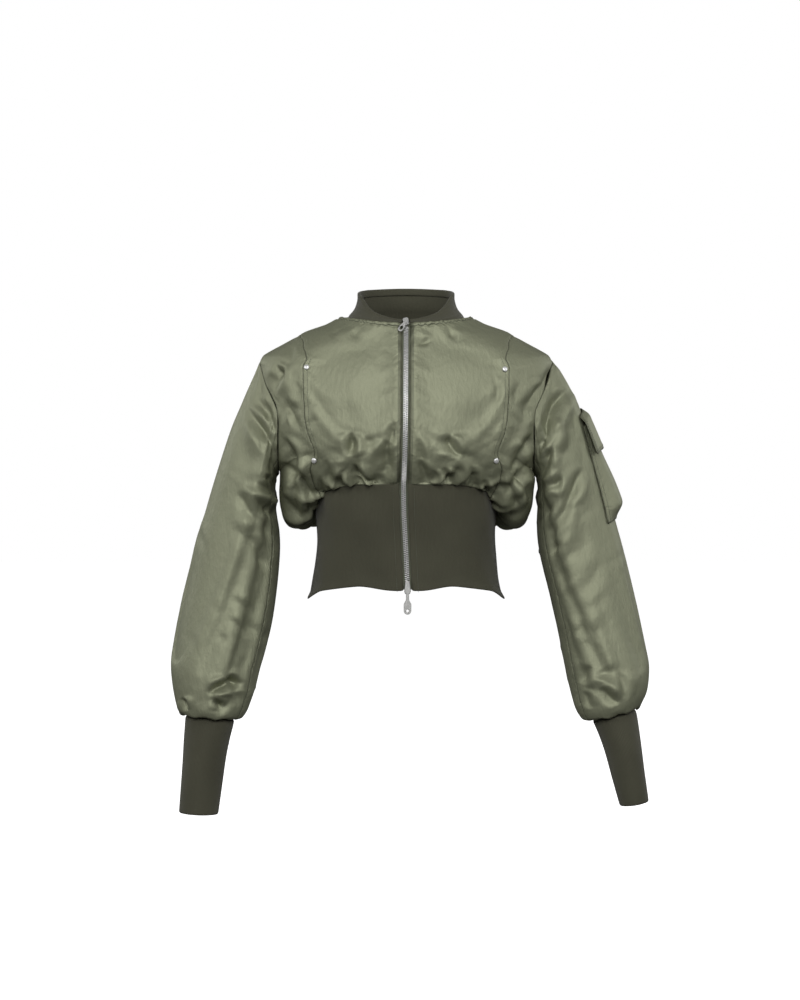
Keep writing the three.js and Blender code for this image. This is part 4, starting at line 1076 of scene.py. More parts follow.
def crinkle_group() -> Tree:
    """Height of the fine crinkles of thin satin cloth, and of the puckers beside its seams.

    Returns:
        The group.
    """
    usual = {"Grain": 190.0, "Pucker": 1.0, "Pucker Reach": 0.009}
    coarse_share, sharp_share, pucker_share = 0.3, 0.04, 0.7
    graph, given, out = effect_group("crinkle", usual, ("Height",))
    place = graph.add("ShaderNodeTexCoord").outputs["Object"]
    flat = graph.add("ShaderNodeUVMap", uv_map="cloth").outputs["UV"]
    seam = graph.add("ShaderNodeAttribute", attribute_name="seam").outputs["Fac"]
    warp = graph.add("ShaderNodeMapping", {"Vector": place, "Scale": (1.0, 1.0, 0.42)}).outputs["Vector"]
    coarse = graph.noise(warp, given["Grain"], Detail=4.0, Roughness=0.5, Distortion=0.1)
    crease = graph.noise(place, 42.0, Detail=3.0, Roughness=0.5, Distortion=0.15)
    level = graph.math("SUBTRACT", graph.times(crease, 2.0), 1.0)
    sharp = graph.math("POWER", graph.math("SUBTRACT", 1.0, graph.math("ABSOLUTE", level)), 5.0)
    pucker = graph.noise(flat, 135.0, Detail=2.0, Distortion=0.4)
    far = graph.math("DIVIDE", seam, given["Pucker Reach"])
    fade = graph.math("POWER", 2.718, graph.times(-1.0, far))
    near = graph.times(graph.times(pucker, fade), given["Pucker"])
    fine = graph.plus(graph.times(coarse, coarse_share), graph.times(sharp, sharp_share))
    graph.link(graph.plus(fine, graph.times(near, pucker_share)), out["Height"])
    return graph.tree


def knit_group() -> Tree:
    """Height of fine rib knit, with its ribs along the piece, and a painted shade that is darker in its
    valleys and lighter on its ridges.

    Returns:
        The group.
    """
    usual = {"Rib Width": 0.0019, "Loop Length": 0.0014}
    sway, slant_share, rib_share, loop_share = 0.0012, 0.35, 0.5, 0.16
    graph, given, out = effect_group("knit", usual, ("Height", "Shade"))
    flat = graph.add("ShaderNodeUVMap", uv_map="cloth").outputs["UV"]
    parts = graph.add("ShaderNodeSeparateXYZ", {0: flat})
    shift = graph.times(graph.noise(flat, 60.0, Detail=1.0), sway)
    across = graph.math("DIVIDE", graph.plus(parts.outputs["X"], shift), given["Rib Width"])
    rib = graph.math("SINE", graph.times(across, 2 * math.pi))
    down = graph.math("DIVIDE", parts.outputs["Y"], given["Loop Length"])
    slanted = graph.plus(down, graph.times(graph.math("ABSOLUTE", rib), slant_share))
    loop = graph.math("SINE", graph.times(slanted, 2 * math.pi))
    height = graph.plus(graph.times(rib, rib_share), graph.times(loop, loop_share))
    graph.link(height, out["Height"])
    # Painted shade: the Shade output follows the height, darker in the knit's valleys and lighter on its
    # ridges.
    graph.link(graph.plus(0.5, graph.times(height, 0.5)), out["Shade"])
    return graph.tree


@dataclass(frozen=True)
class ShellCloth:
    """Olive satin nylon of the padded shell, with painted shade along its seams and stitching."""

    name: str = "satin_nylon"
    light: Triple = (0.270, 0.280, 0.192)
    dark: Triple = (0.222, 0.234, 0.157)
    cloud_scale: float = 11.0
    roughness: float = 0.6
    metallic: float = 0.6
    specular: float = 0.4
    seam_painted_shade: float = 0.5
    seam_width: float = 0.0016
    crinkle_depth: float = 0.0028

    def build(self, crinkle: Tree) -> Material:
        """Builds the material.

        Args:
            crinkle: The crinkle height group.

        Returns:
            The material.
        """
        material, graph, shader = new_material(self.name)
        cloud = graph.noise(graph.add("ShaderNodeTexCoord").outputs["Object"], self.cloud_scale, Detail=3.0)
        # Painted shade: within 1.6 mm of each seam and line of stitching the colour darkens to half, standing
        # for the shadow in the seam's groove together with the dark of the thread.
        seam = graph.add("ShaderNodeAttribute", attribute_name="seam").outputs["Fac"]
        line = graph.add("ShaderNodeMapRange", {
            "Value": seam, "From Max": self.seam_width, "To Min": self.seam_painted_shade, "To Max": 1.0,
        }).outputs["Result"]
        colour_with_painted_shade = graph.add("ShaderNodeVectorMath", {0: graph.mix(cloud, self.dark, self.light), "Scale": line},
                         operation="SCALE")
        graph.link(colour_with_painted_shade.outputs["Vector"], shader.inputs["Base Color"])
        gloss = graph.plus(self.roughness - 0.05, graph.times(cloud, 0.1))
        graph.link(gloss, shader.inputs["Roughness"])
        group = graph.add("ShaderNodeGroup", node_tree=crinkle)
        graph.bump(shader, group.outputs["Height"], 1.0, self.crinkle_depth)
        shader.inputs["Metallic"].default_value = self.metallic
        shader.inputs["Specular IOR Level"].default_value = self.specular
        return material


@dataclass(frozen=True)
class RibKnit:
    """Dark rib knit of the collar, waistband and cuffs."""

    name: str = "rib_knit"
    light: Triple = (0.067, 0.066, 0.043)
    dark: Triple = (0.045, 0.044, 0.028)
    cloud_scale: float = 13.0
    roughness: float = 0.8
    sheen: float = 0.12
    specular: float = 0.25
    knit_strength: float = 0.4
    knit_depth: float = 0.0004

    def build(self, knit: Tree) -> Material:
        """Builds the material.

        Args:
            knit: The knit height group.

        Returns:
            The material.
        """
        material, graph, shader = new_material(self.name)
        group = graph.add("ShaderNodeGroup", node_tree=knit)
        cloud = graph.noise(graph.add("ShaderNodeTexCoord").outputs["Object"], self.cloud_scale, Detail=2.0)
        faded = graph.math("SUBTRACT", graph.times(cloud, 1.3), 0.4)
        # The colour mixes the knit's painted shade, darker in its valleys and lighter on its ridges, with a
        # random cloud of tone.
        shade = graph.plus(graph.times(group.outputs["Shade"], 0.45), faded)
        graph.link(graph.mix(shade, self.dark, self.light), shader.inputs["Base Color"])
        graph.bump(shader, group.outputs["Height"], self.knit_strength, self.knit_depth)
        shader.inputs["Roughness"].default_value = self.roughness
        shader.inputs["Sheen Weight"].default_value = self.sheen
        shader.inputs["Specular IOR Level"].default_value = self.specular
        return material


@dataclass(frozen=True)
class PlainFinish:
    """Finish of the zip metal, the tape, the thread or the paper: one colour, broken by a fine noise."""

    name: str
    colour: Triple
    roughness: float
    metallic: float
    grain: float
    depth: float

    def build(self) -> Material:
        """Builds the material.

        Returns:
            The material.
        """
        material, graph, shader = new_material(self.name)
        noise = graph.noise(graph.add("ShaderNodeTexCoord").outputs["Object"], self.grain, Detail=3.0)
        dark, light = (tuple(min(1, share * part) for part in self.colour) for share in (0.8, 1.15))
        graph.link(graph.mix(noise, dark, light), shader.inputs["Base Color"])
        rough = graph.plus(self.roughness - 0.06, graph.times(noise, 0.12))
        graph.link(rough, shader.inputs["Roughness"])
        graph.bump(shader, noise, 0.3, self.depth)
        shader.inputs["Metallic"].default_value = self.metallic
        return material


@dataclass
class Finishes:
    """All finishes of the jacket, each built once."""

    shell: Material = field(default_factory=lambda: ShellCloth().build(crinkle_group()))
    rib: Material = field(default_factory=lambda: RibKnit().build(knit_group()))
    tape: Material = field(default_factory=PlainFinish(
        "woven_tape", (0.110, 0.120, 0.078), 0.75, 0.0, 900.0, 0.0002).build)
    metal: Material = field(default_factory=PlainFinish(
        "bright_metal", (0.74, 0.74, 0.73), 0.42, 0.6, 220.0, 0.00005).build)
    # The sliders and pulls take a darker copy of the zip metal: painted shade that tones down the light their
    # flat faces catch.
    darker_pull_metal: Material = field(default_factory=PlainFinish(
        "pull_metal", (0.36, 0.36, 0.35), 0.42, 0.75, 220.0, 0.00005).build)
    thread: Material = field(default_factory=PlainFinish(
        "sewing_thread", (0.075, 0.082, 0.055), 0.6, 0.0, 1500.0, 0.0001).build)


def dress_cloth(patch: Patch, material: Material, wall: float,
                nodes: tuple[str, ...], smooth: bool = True, allowance: float = 0.0) -> Object:
    """Makes the final piece of a patch: walled, subdivided, placed on its body, its CAD nodes hidden.

    Args:
        patch: The patch.
        material: Its finish.
        wall: Thickness in millimetres.
        nodes: CAD nodes that it stands for.
        smooth: Whether its faces are divided once more.
        allowance: How far its sewn edges turn in, in millimetres.

    Returns:
        The piece.
    """
    near, whole = patch.pucker_distance(), patch
    if allowance:
        whole = patch.turned_in(allowance)
        pairs = ("first", "last"), ("left", "right")
        near = np.pad(near, [[int(edge not in patch.free) for edge in pair] for pair in pairs], mode="edge")
    piece = make_mesh(patch.name, whole, near)
    piece.data.materials.append(material)
    solid = piece.modifiers.new("wall", "SOLIDIFY")
    solid.thickness = wall * MM
    solid.offset = -1
    solid.use_even_offset = False
    if smooth:
        fine = piece.modifiers.new("fine", "SUBSURF")
        fine.levels = fine.render_levels = 1
    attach(piece, "jacket")
    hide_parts(*nodes)
    return piece


@dataclass
class Shell:
    """Padded shell: front, side and back panels and the two-piece sleeves.

    The kept panels are finer than those that settle by the detail. Sizes are in millimetres: the groove that
    a seam pulls into the padding, the stitched strip at the neck with its welt and its dip, the stitching
    beside the zip, and how far the edges turn in.
    """

    detail: int = 2
    body_rows: int = 64
    sleeve_rows: int = 92
    groove: float = 1.3
    groove_width: float = 4.0
    neck_strip: float = 7.0
    neck_welt: float = 1.2
    neck_dip: float = 0.9
    zip_stitch: float = 5.0
    allowance: float = 5.0
    loose: dict[str, Patch] = field(default_factory=dict)
    patches: dict[str, Patch] = field(default_factory=dict)

    def seam_groove(self, patch: Patch) -> None:
        """Sinks a patch along its sewn edges, where the stitching pulls the padding flat.

        Args:
            patch: The patch, changed in place.
        """
        depth = self.groove * np.exp(-patch.seam_distance() / self.groove_width)
        if ("last", self.neck_strip) in patch.lines:
            _, v = patch.lengths()
            share = (v[-1:, :] - v) / self.neck_strip
            depth = depth - self.neck_welt * np.sin(np.clip(share, 0, 1) * math.pi)
            depth = depth + self.neck_dip * np.exp(-((share - 1) / 0.22) ** 2)
        patch.points = patch.points - patch.normals * depth[..., None]

    def body_patch(self, name: str, low: Callable[[dict], Array], high: Callable[[dict], Array], last: float,
                   columns: int, lines: Insets = ()) -> None:
        """Builds a body panel between two limits, once coarse to settle and once fine.

        Args:
            name: Name of the piece.
            low: First angle of each ring.
            high: Last angle of each ring.
            last: Highest ring.
            columns: Points across.
            lines: Lines of stitching beside its edges.
        """
        for detail, kept in ((1, self.loose), (self.detail, self.patches)):
            rows = int(last / BODY.last * self.body_rows) * detail
            # The rings are closer at the waist and the neck, where the gathers are.
            rings = np.interp(np.linspace(0, 1, rows), [0, 0.34, 0.92, 1], [0, last * 0.25, last - 0.9, last])
            row = BODY.at(rings)
            share = np.linspace(0, 1, columns * detail)
            degrees = low(row)[:, None] * (1 - share) + high(row)[:, None] * share
            at = np.repeat(rings[:, None], columns * detail, axis=1)
            points, normals = body_base(degrees, at), body_normal(degrees, at)
            if detail > 1:
                points = points + normals * body_lift(degrees, at)[..., None]
            kept[name] = Patch(name, points, normals, lines=lines)
            if detail == 1:
                kept[name].slack = self.body_slack(degrees, at, row["arm_fore"][:, None])

    @staticmethod
    def body_slack(degrees: Array, at: Array, armhole: Array) -> Array:
        """Share of spare cloth over a body panel, most at the waist and the armholes.

        Args:
            degrees: Angles from the centre front.
            at: Fractional rings.
            armhole: Angle of the armhole on each ring.

        Returns:
            Shares from 0 to 1.
        """
        wide = np.broadcast_to(armhole, degrees.shape)
        from_armhole = np.abs(np.minimum(np.abs(degrees), 360 - np.abs(degrees)) - wide)
        by_armhole = (1 - ease(4, 30, from_armhole)) * ease(UNDERARM_RING - 2, UNDERARM_RING + 2, at)
        by_armhole *= 1 - ease(TIP_RING - 4, TIP_RING, at)
        by_waist = 1 - ease(2.5, 7.5, at)
        return 0.02 + 0.9 * np.maximum(by_waist, 0.55 * by_armhole)

    def sleeve_patch(self, name: str, form: SleeveForm, low: float, high: float, columns: int) -> None:
        """Builds a lengthwise piece of a sleeve, once coarse to settle and once fine.

        Args:
            name: Name of the piece.
            form: The sleeve.
            low: First angle.
            high: Last angle.
            columns: Points across.
        """
        for detail, kept in ((1, self.loose), (self.detail, self.patches)):
            share = np.linspace(0, 1, self.sleeve_rows * detail)
            steps = np.interp(share, [0, 0.4, 0.84, 1], [0, 6, 13.2, form.sections.last])
            angle, step = np.meshgrid(np.linspace(low, high, columns * detail), steps)
            points = form.plain(step, angle) if detail == 1 else form.form(step, angle)
            kept[name] = Patch(name, points, form.normal(step, angle))
            if detail == 1:
                self.sleeve_slack(kept[name], form, step, angle)

    @staticmethod
    def sleeve_slack(patch: Patch, form: SleeveForm, step: Array, angle: Array) -> None:
        """Sets where a sleeve piece has spare cloth, and holds it under the pocket.

        Args:
            patch: The coarse patch.
            form: The sleeve.
            step: Fractional sections of its points.
            angle: Angles of its points.
        """
        by_wrist = 0.25 * ease(11.5, 14, step)
        by_shoulder = 0.12 * (1 - ease(1, 4, step))
        inner = ease(0.2, 0.9, np.sin(np.radians(angle) / 2) ** 2)
        by_elbow = 0.04 * inner * ease(2.5, 5, step) * (1 - ease(9, 11, step))
        patch.slack = 0.06 + 0.85 * np.maximum.reduce([by_wrist, by_shoulder, by_elbow])
        if form is LEFT:
            patch.pins = (angle > -58) & (angle < 42) & (step > 3.0) & (step < 7.5)

    def build(self) -> None:
        """Builds and settles every shell patch."""
        neck = ("last", self.neck_strip)
        for side, word in ((-1, "right"), (1, "left")):
            self.body_patch(
                f"centre_front_{word}", lambda row, s=side: edge_angle(row["half"]) * s,
                lambda row, s=side: row["seam"] * s, BODY.last, 26, lines=(("left", self.zip_stitch), neck))
            self.body_patch(
                f"side_front_{word}", lambda row, s=side: row["seam"] * s,
                lambda row, s=side: row["arm_fore"] * s, SEAM_END_RING, 18)
        self.body_patch("back", lambda row: row["arm_aft"], lambda row: 360 - row["arm_aft"], BODY.last, 84,
                        lines=(neck,))
        for form, word in ((RIGHT, "right"), (LEFT, "left")):
            self.sleeve_patch(f"upper_sleeve_{word}", form, BACK_SEAM - 360, FRONT_SEAM, 60)
            self.sleeve_patch(f"under_sleeve_{word}", form, FRONT_SEAM, BACK_SEAM, 13)
        before = {name: patch.points.copy() for name, patch in self.loose.items()}
        ClothSettling().run(list(self.loose.values()))
        for name, patch in self.patches.items():
            shift = self.loose[name].points - before[name]
            patch.points = patch.points + finer(shift, patch.points.shape)
        for patch in self.patches.values():
            self.seam_groove(patch)

    def dress(self, finishes: Finishes) -> None:
        """Turns each patch into its piece.

        Args:
            finishes: The finishes.
        """
        for node, patch in self.patches.items():
            patch.name = f"shell_{node}"
            dress_cloth(patch, finishes.shell, SHELL_WALL, (node,), smooth=False,
                        allowance=self.allowance)


def waves(turn: Array, *rows: Triple) -> Array:
    """Sum of waves round a rib, each given by its height, its count and its phase."""
    return sum(height * np.sin(count * turn + phase) for height, count, phase in rows)


@dataclass
class Ribs:
    """Rib waistband, collar and cuffs."""

    fold_radius: float = 2.3
    fold_share: float = 0.35
    patches: dict[str, Patch] = field(default_factory=dict)

    @staticmethod
    def band(name: str, point: Surface, heights: Array, columns: int) -> Patch:
        """Builds a band between the two front edges.

        Args:
            name: Name of the piece.
            point: Surface by share round and height.
            heights: Fractional rows of its points.
            columns: Points round.

        Returns:
            The patch.
        """
        share, at = np.meshgrid(np.linspace(0, 1, columns), heights)
        normal = outward(point, share, at, 0.002, 0.02, float(heights[-1]))
        return Patch(name, point(share, at), normal)

    @staticmethod
    def spread(half: Array, share: Array) -> Array:
        """Spreads shares of 0 to 1 over the ring between the two front edges."""
        edge = edge_angle(half)
        return edge + (360 - 2 * edge) * share

    def waist_point(self, share: Array, at: Array) -> Array:
        """Waistband surface, with the shallow pulls of its seam; past its last row it is inside the shell.

        Args:
            share: Shares round, from one front edge to the other.
            at: Fractional rows, from the hem.

        Returns:
            Points in millimetres.
        """
        row = WAIST.at(np.minimum(at, WAIST.last))
        degrees = self.spread(row["half"], share)
        point = ring_points(row, degrees)
        radial = unit(point * np.array([1.0, 1.0, 0.0]))
        turn = np.radians(degrees)
        ripple = waves(turn, (0.5, 41, 0), (0.4, 67, 1), (0.3, 23, 2))
        slack = 0.9 * np.sin(7 * turn + at) * np.sin(at * 1.1) + 0.5 * np.sin(13 * turn + 1.6 * at + 1)
        tuck = np.maximum(at - WAIST.last, 0)
        beside = np.abs(np.degrees(np.arctan2(np.sin(turn), np.cos(turn))))
        # The hem curls outwards, most at the sides, and rises beside the zip and across the back.
        sides = ease(55, 88, beside) * (1 - ease(100, 130, beside))
        curl = 3.2 * (1 - ease(0, 0.55, at)) * (0.25 + 0.75 * sides)
        lift = ripple * ease(3.6, 5, at) * 0.9 + slack + curl - 2.4 * ease(0, 0.4, tuck)
        point = point + radial * lift[..., None]
        fore = 8.5 * ease(4, 26, beside) * (1 - ease(56, 86, beside))
        aft = ease(95, 125, beside) * (9 + 2.5 * np.sin(4.4 * turn + 0.6))
        point[..., 2] += 14 * tuck + (1 - ease(0, 1.3, at)) * (fore + aft)
        return point

    def collar_point(self, share: Array, at: Array) -> Array:
        """Collar surface, taller behind, tapering to the zip and folded over at its top.

        Args:
            share: Shares round, from one front edge to the other.
            at: Share of the height, and past 1 the fold and the inside.

        Returns:
            Points in millimetres.
        """
        row = {key: np.full_like(share, value) for key, value in zip(BODY.columns, BODY.rows[-1])}
        degrees = self.spread(row["half"], share)
        turn = np.minimum(degrees, 360 - degrees)
        over = np.clip((at - 1) / self.fold_share, 0, 1)
        bend = np.clip(over / 0.6, 0, 1) * math.pi
        inside = 8.0 * np.clip((over - 0.6) / 0.4, 0, 1)
        at = np.minimum(at, 1)
        height = looked_up(COLLAR_HEIGHT, turn) * np.maximum(at, 0)
        tuck = np.clip(0.14 - at, 0, 0.14) / 0.14
        lean = 1 - COLLAR_LEAN * (1 - np.exp(-height / COLLAR_LEAN_HEIGHT))
        point = ring_points(row, degrees)
        swell = 0.8 * np.sin(np.clip(at, 0, 1) * math.pi)
        radial = unit(point * np.array([1.0, 1.0, 0.0]))
        roll = 1.2 * ease(0.78, 1, at) * ease(40, 90, turn)
        point = point * np.stack([lean, lean, np.ones_like(lean)], axis=-1)
        fold = self.fold_radius * (1 - np.cos(bend))
        point = point + radial * (swell + roll - 3.4 * tuck - fold)[..., None]
        point[..., 2] += 0.7 + height - 4.5 * tuck + self.fold_radius * (np.sin(bend) - 1) - inside
        return point

    def cuff(self, name: str, form: SleeveForm) -> Patch:
        """Builds a rib cuff.

        Args:
            name: Name of the piece.
            form: The cuff's surface.

        Returns:
            The patch.
        """
        angle, step = np.meshgrid(np.linspace(0, 360, 57), np.linspace(0, form.sections.last, 38))
        turn, normal = np.radians(angle), form.normal(step, angle)
        ripple = waves(turn, (0.5, 17, 0), (0.4, 26, 1))
        lift = ripple * ease(1.6, 0, step) + 0.5 * np.sin(3 * turn + step * 1.3)
        points = form.plain(step, angle) + normal * lift[..., None]
        # The first rows are tucked up into the sleeve.
        rows = 3
        tuck = np.linspace(1, 0, rows + 1)[:-1]
        points[:rows] = points[rows] - normal[rows] * (3.0 * tuck)[:, None, None]
        points[:rows, :, 2] += (5.0 * tuck)[:, None]
        points[:, -1], normal[:, -1] = points[:, 0], normal[:, 0]
        return Patch(name, points, normal, free=("left", "right"))

    def build(self) -> None:
        """Builds the four rib patches."""
        fold = 1 + self.fold_share * np.array([0.1, 0.2, 0.3, 0.4, 0.5, 0.6, 0.8, 1.0])
        collar = np.concatenate([np.linspace(0, 1, 13), fold])
        for patch in (
            self.band("waistband", self.waist_point, np.linspace(0, 5.5, 42), 150),
            self.band("collar", self.collar_point, collar, 110),
            self.cuff("cuff_right", SleeveForm(-1, RIGHT_CUFF)),
            self.cuff("cuff_left", SleeveForm(1, LEFT_CUFF)),
        ):
            self.patches[patch.name] = patch

    def dress(self, finishes: Finishes) -> None:
        """Turns each rib patch into its piece.

        Args:
            finishes: The finishes.
        """
        for node, patch in self.patches.items():
            patch.name = f"rib_{node}"
            dress_cloth(patch, finishes.rib, RIB_WALL, (node,))


@dataclass
class Repeats:
    """Places copies of a small part along lines on the jacket, through one node tree."""

    name: str
    part: Object
    material: Material
    size: float = 1.0

    def tree(self) -> Tree:
        """Builds the tree: points in, aligned copies out, made real and given their finish.

        Returns:
            The tree.
        """
        tree = bpy.data.node_groups.new(f"{self.name}_copies", "GeometryNodeTree")
        kinds = {"Places": "Geometry", "Part": "Object", "Size": "Float", "Finish": "Material"}
        for key, kind in kinds.items():
            tree.interface.new_socket(name=key, in_out="INPUT", socket_type=f"NodeSocket{kind}")
        tree.interface.new_socket(name="Copies", in_out="OUTPUT", socket_type="NodeSocketGeometry")
        graph = Graph(tree)
        start, end = graph.add("NodeGroupInput"), graph.add("NodeGroupOutput")
        along = graph.add("GeometryNodeInputNamedAttribute", {"Name": "along"}, data_type="FLOAT_VECTOR")
        out = graph.add("GeometryNodeInputNamedAttribute", {"Name": "out"}, data_type="FLOAT_VECTOR")
        first = graph.add("FunctionNodeAlignRotationToVector", {"Vector": out.outputs["Attribute"]}, axis="Z")
        second = graph.add("FunctionNodeAlignRotationToVector", {
            "Rotation": first.outputs["Rotation"], "Vector": along.outputs["Attribute"],
        }, axis="Y", pivot_axis="Z")
        part = graph.add("GeometryNodeObjectInfo", {"Object": start.outputs["Part"]})
        copies = graph.add("GeometryNodeInstanceOnPoints", {
            "Points": start.outputs["Places"], "Instance": part.outputs["Geometry"],
            "Rotation": second.outputs["Rotation"], "Scale": start.outputs["Size"],
        })
        real = graph.add("GeometryNodeRealizeInstances", {"Geometry": copies.outputs["Instances"]})
        done = graph.add("GeometryNodeSetMaterial", {
            "Geometry": real.outputs["Geometry"], "Material": start.outputs["Finish"],
        })
        graph.link(done.outputs["Geometry"], end.inputs["Copies"])
        return tree

    def build(self, runs: list[tuple[Array, Array, Array]]) -> Object:
        """Places the copies and turns them into a plain mesh.

        Args:
            runs: For each line, the middles of its copies in millimetres, their lengthwise directions and the
                directions that they face.

        Returns:
            The new piece.
        """
        places, along, out = (np.concatenate(part) for part in zip(*runs))
        mesh = new_mesh(self.name, places)
        for word, values in (("along", along), ("out", out)):
            store = mesh.attributes.new(word, "FLOAT_VECTOR", "POINT")
            store.data.foreach_set("vector", unit(values).reshape(-1).astype(np.float32))
        carrier = linked(f"{self.name}_places", mesh)
        modifier = carrier.modifiers.new("copies", "NODES")
        modifier.node_group = self.tree()
        named = {item.name: item.identifier for item in modifier.node_group.interface.items_tree}
        modifier[named["Part"]] = self.part
        modifier[named["Size"]] = self.size
        modifier[named["Finish"]] = self.material
        carrier.update_tag()
        bpy.context.view_layer.update()
        graph = bpy.context.evaluated_depsgraph_get()
        made = bpy.data.meshes.new_from_object(carrier.evaluated_get(graph))
        made.name = self.name
        for spent in (carrier, self.part):
            bpy.data.objects.remove(spent, do_unlink=True)
        LOG.info("%s: %d copies", self.name, len(places))
        return linked(self.name, made)


def solid_part(name: str, size: Triple, narrow: float, bevel: float) -> Object:
    """Small bevelled block that is copied many times: a zip tooth or a stitch.

    Args:
        name: Name of the block.
        size: Across, along and thick, in millimetres.
        narrow: Share of the width that is left at the far end.
        bevel: Width of the bevel in millimetres.

    Returns:
        The object, linked into the scene so that the nodes can read it.
    """
    across, along, thick = size
    shape = bmesh.new()
    bmesh.ops.create_cube(shape, size=1)
    for vertex in shape.verts:
        vertex.co.x *= across
        vertex.co.y *= along * (narrow if vertex.co.x > 0 else 1)
        vertex.co.z *= thick
    bmesh.ops.scale(shape, vec=(MM, MM, MM), verts=shape.verts)
    bmesh.ops.bevel(shape, geom=shape.edges[:], offset=bevel * MM, segments=1, affect="EDGES")
    mesh = bpy.data.meshes.new(name)
    shape.to_mesh(mesh)
    shape.free()
    return linked(name, mesh)


def spaced(line: Array, pitch: float, shift: float = 0.0) -> Array:
    """Fractional places along a line at an even pitch.

    Args:
        line: Points of the line.
        pitch: Distance between places.
        shift: Distance before the first place.

    Returns:
        Fractional indices into the line.
    """
    run = np.concatenate([[0], np.cumsum(np.linalg.norm(np.diff(line, axis=0), axis=1))])
    return np.interp(np.arange(shift, run[-1], pitch), run, np.arange(len(line)))


def along_line(line: Array, places: Array) -> Array:
    """Values of a line at fractional indices."""
    return np.stack([np.interp(places, np.arange(len(line)), column) for column in line.T], axis=-1)


def front_line(height: Array) -> tuple[Array, Array]:
    """Points of the closed front line and its outward directions.

    Args:
        height: Heights in millimetres.

    Returns:
        Points and directions.
    """
    place = np.linspace(0, 1, 400)
    waist, body = WAIST.at(place * WAIST.last), BODY.at(place * BODY.last)
    level = np.concatenate([waist["front"], body["front"]])
    depth = np.concatenate([waist["fore"], body["fore"]])
    order = np.argsort(level)
    level, depth = level[order], depth[order]
    # The slope is measured between places this far above and below.
    reach = 9
    above = np.minimum(height + reach, BODY.rows[-1][0])
    drop = np.interp(above, level, depth) - np.interp(height - reach, level, depth)
    slope = drop / (above - height + reach)
    way = unit(np.stack([np.zeros_like(height), -np.ones_like(height), -slope], axis=-1))
    return np.stack([zip_line(height), -np.interp(height, level, depth), height], axis=-1), way


def bevelled_copy(node: str, name: str, width: float, material: Material,
                  body: str) -> Object:
    """Copy of a hard CAD node with its edges rounded.

    Args:
        node: The node.
        name: Name of the new piece.
        width: Width of the rounding in millimetres.
        material: Its finish.
        body: The body it rides on.

    Returns:
        The piece.
    """
    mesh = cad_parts[node].data.copy()
    shape = bmesh.new()
    shape.from_mesh(mesh)
    bmesh.ops.remove_doubles(shape, verts=shape.verts, dist=1e-6)
    bmesh.ops.dissolve_limit(shape, angle_limit=0.05, verts=shape.verts, edges=shape.edges)
    bmesh.ops.recalc_face_normals(shape, faces=shape.faces)
    shape.to_mesh(mesh)
    shape.free()
    mesh.materials.clear()
    mesh.materials.append(material)
    piece = linked(name, mesh)
    bevel = piece.modifiers.new("rounding", "BEVEL")
    bevel.width, bevel.segments = width * MM, 2
    bevel.limit_method, bevel.angle_limit = "ANGLE", math.radians(35)
    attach(piece, body)
    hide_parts(node)
    return piece


@dataclass
class Zip:
    """Two-way front zip: woven tapes, teeth, sliders and their pulls. Sizes are in millimetres."""

    top: float = -11.0
    bottom: float = -374.0
    inner: float = 1.2
    outer: float = 15.0
    tape_depth: float = 4.5
    tape_wall: float = 0.9
    pitch: float = 2.5
    tooth: Triple = (3.7, 1.35, 2.3)
    tooth_narrow: float = 0.62
    tooth_bevel: float = 0.24
    tooth_depth: float = 1.9
    end_gap: float = 3.0
    reach: float = 1.35
    slider_rounding: float = 0.7
    pull_rounding: float = 0.35

    def tape(self, side: int, word: str, finishes: Finishes) -> None:
        """Builds one woven tape.

        Args:
            side: -1 for the right, 1 for the left.
            word: right or left.
            finishes: The finishes.
        """
        rows, columns = 90, 7
        point, way = front_line(np.linspace(self.top, self.bottom, rows))
        across = np.linspace(self.inner, self.outer, columns) * side
        points = point[:, None, :] - way[:, None, :] * self.tape_depth
        points = points + across[None, :, None] * np.array([1.0, 0.0, 0.0])
        patch = Patch(f"zip_tape_{word}_woven", points, np.repeat(way[:, None, :], columns, axis=1),
                      free=("left", "right"))
        dress_cloth(patch, finishes.tape, self.tape_wall, (f"zip_tape_{word}",))

    def teeth(self, finishes: Finishes) -> None:
        """Builds the closed chain of interlocked teeth.

        Args:
            finishes: The finishes.
        """
        part = solid_part("zip_tooth", self.tooth, self.tooth_narrow, self.tooth_bevel)
        line, way = front_line(np.linspace(self.top - self.end_gap, self.bottom + self.end_gap, 300))
        runs = []
        for side in (-1, 1):
            at = spaced(line, self.pitch, 0 if side < 0 else self.pitch / 2)
            middle, face = along_line(line, at), along_line(way, at)
            run = unit(np.gradient(middle, axis=0)) * side
            middle = middle + np.array([self.reach * side, 0, 0]) - face * self.tooth_depth
            runs.append((middle, run, face))
        chain = Repeats("zip_teeth", part, finishes.metal).build(runs)
        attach(chain, "jacket")
        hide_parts("zip_chain")

    def dress(self, finishes: Finishes) -> None:
        """Builds every part of the zip.

        Args:
            finishes: The finishes.
        """
        self.tape(-1, "right", finishes)
        self.tape(1, "left", finishes)
        self.teeth(finishes)
        for node, body, rounding in (
            ("top_slider", "jacket", self.slider_rounding), ("low_slider", "jacket", self.slider_rounding),
            ("top_pull", "upper_pull", self.pull_rounding), ("low_pull", "lower_pull", self.pull_rounding),
        ):
            bevelled_copy(node, f"{node}_metal", rounding, finishes.darker_pull_metal, body)
            LOG.info("zip part %s", node)


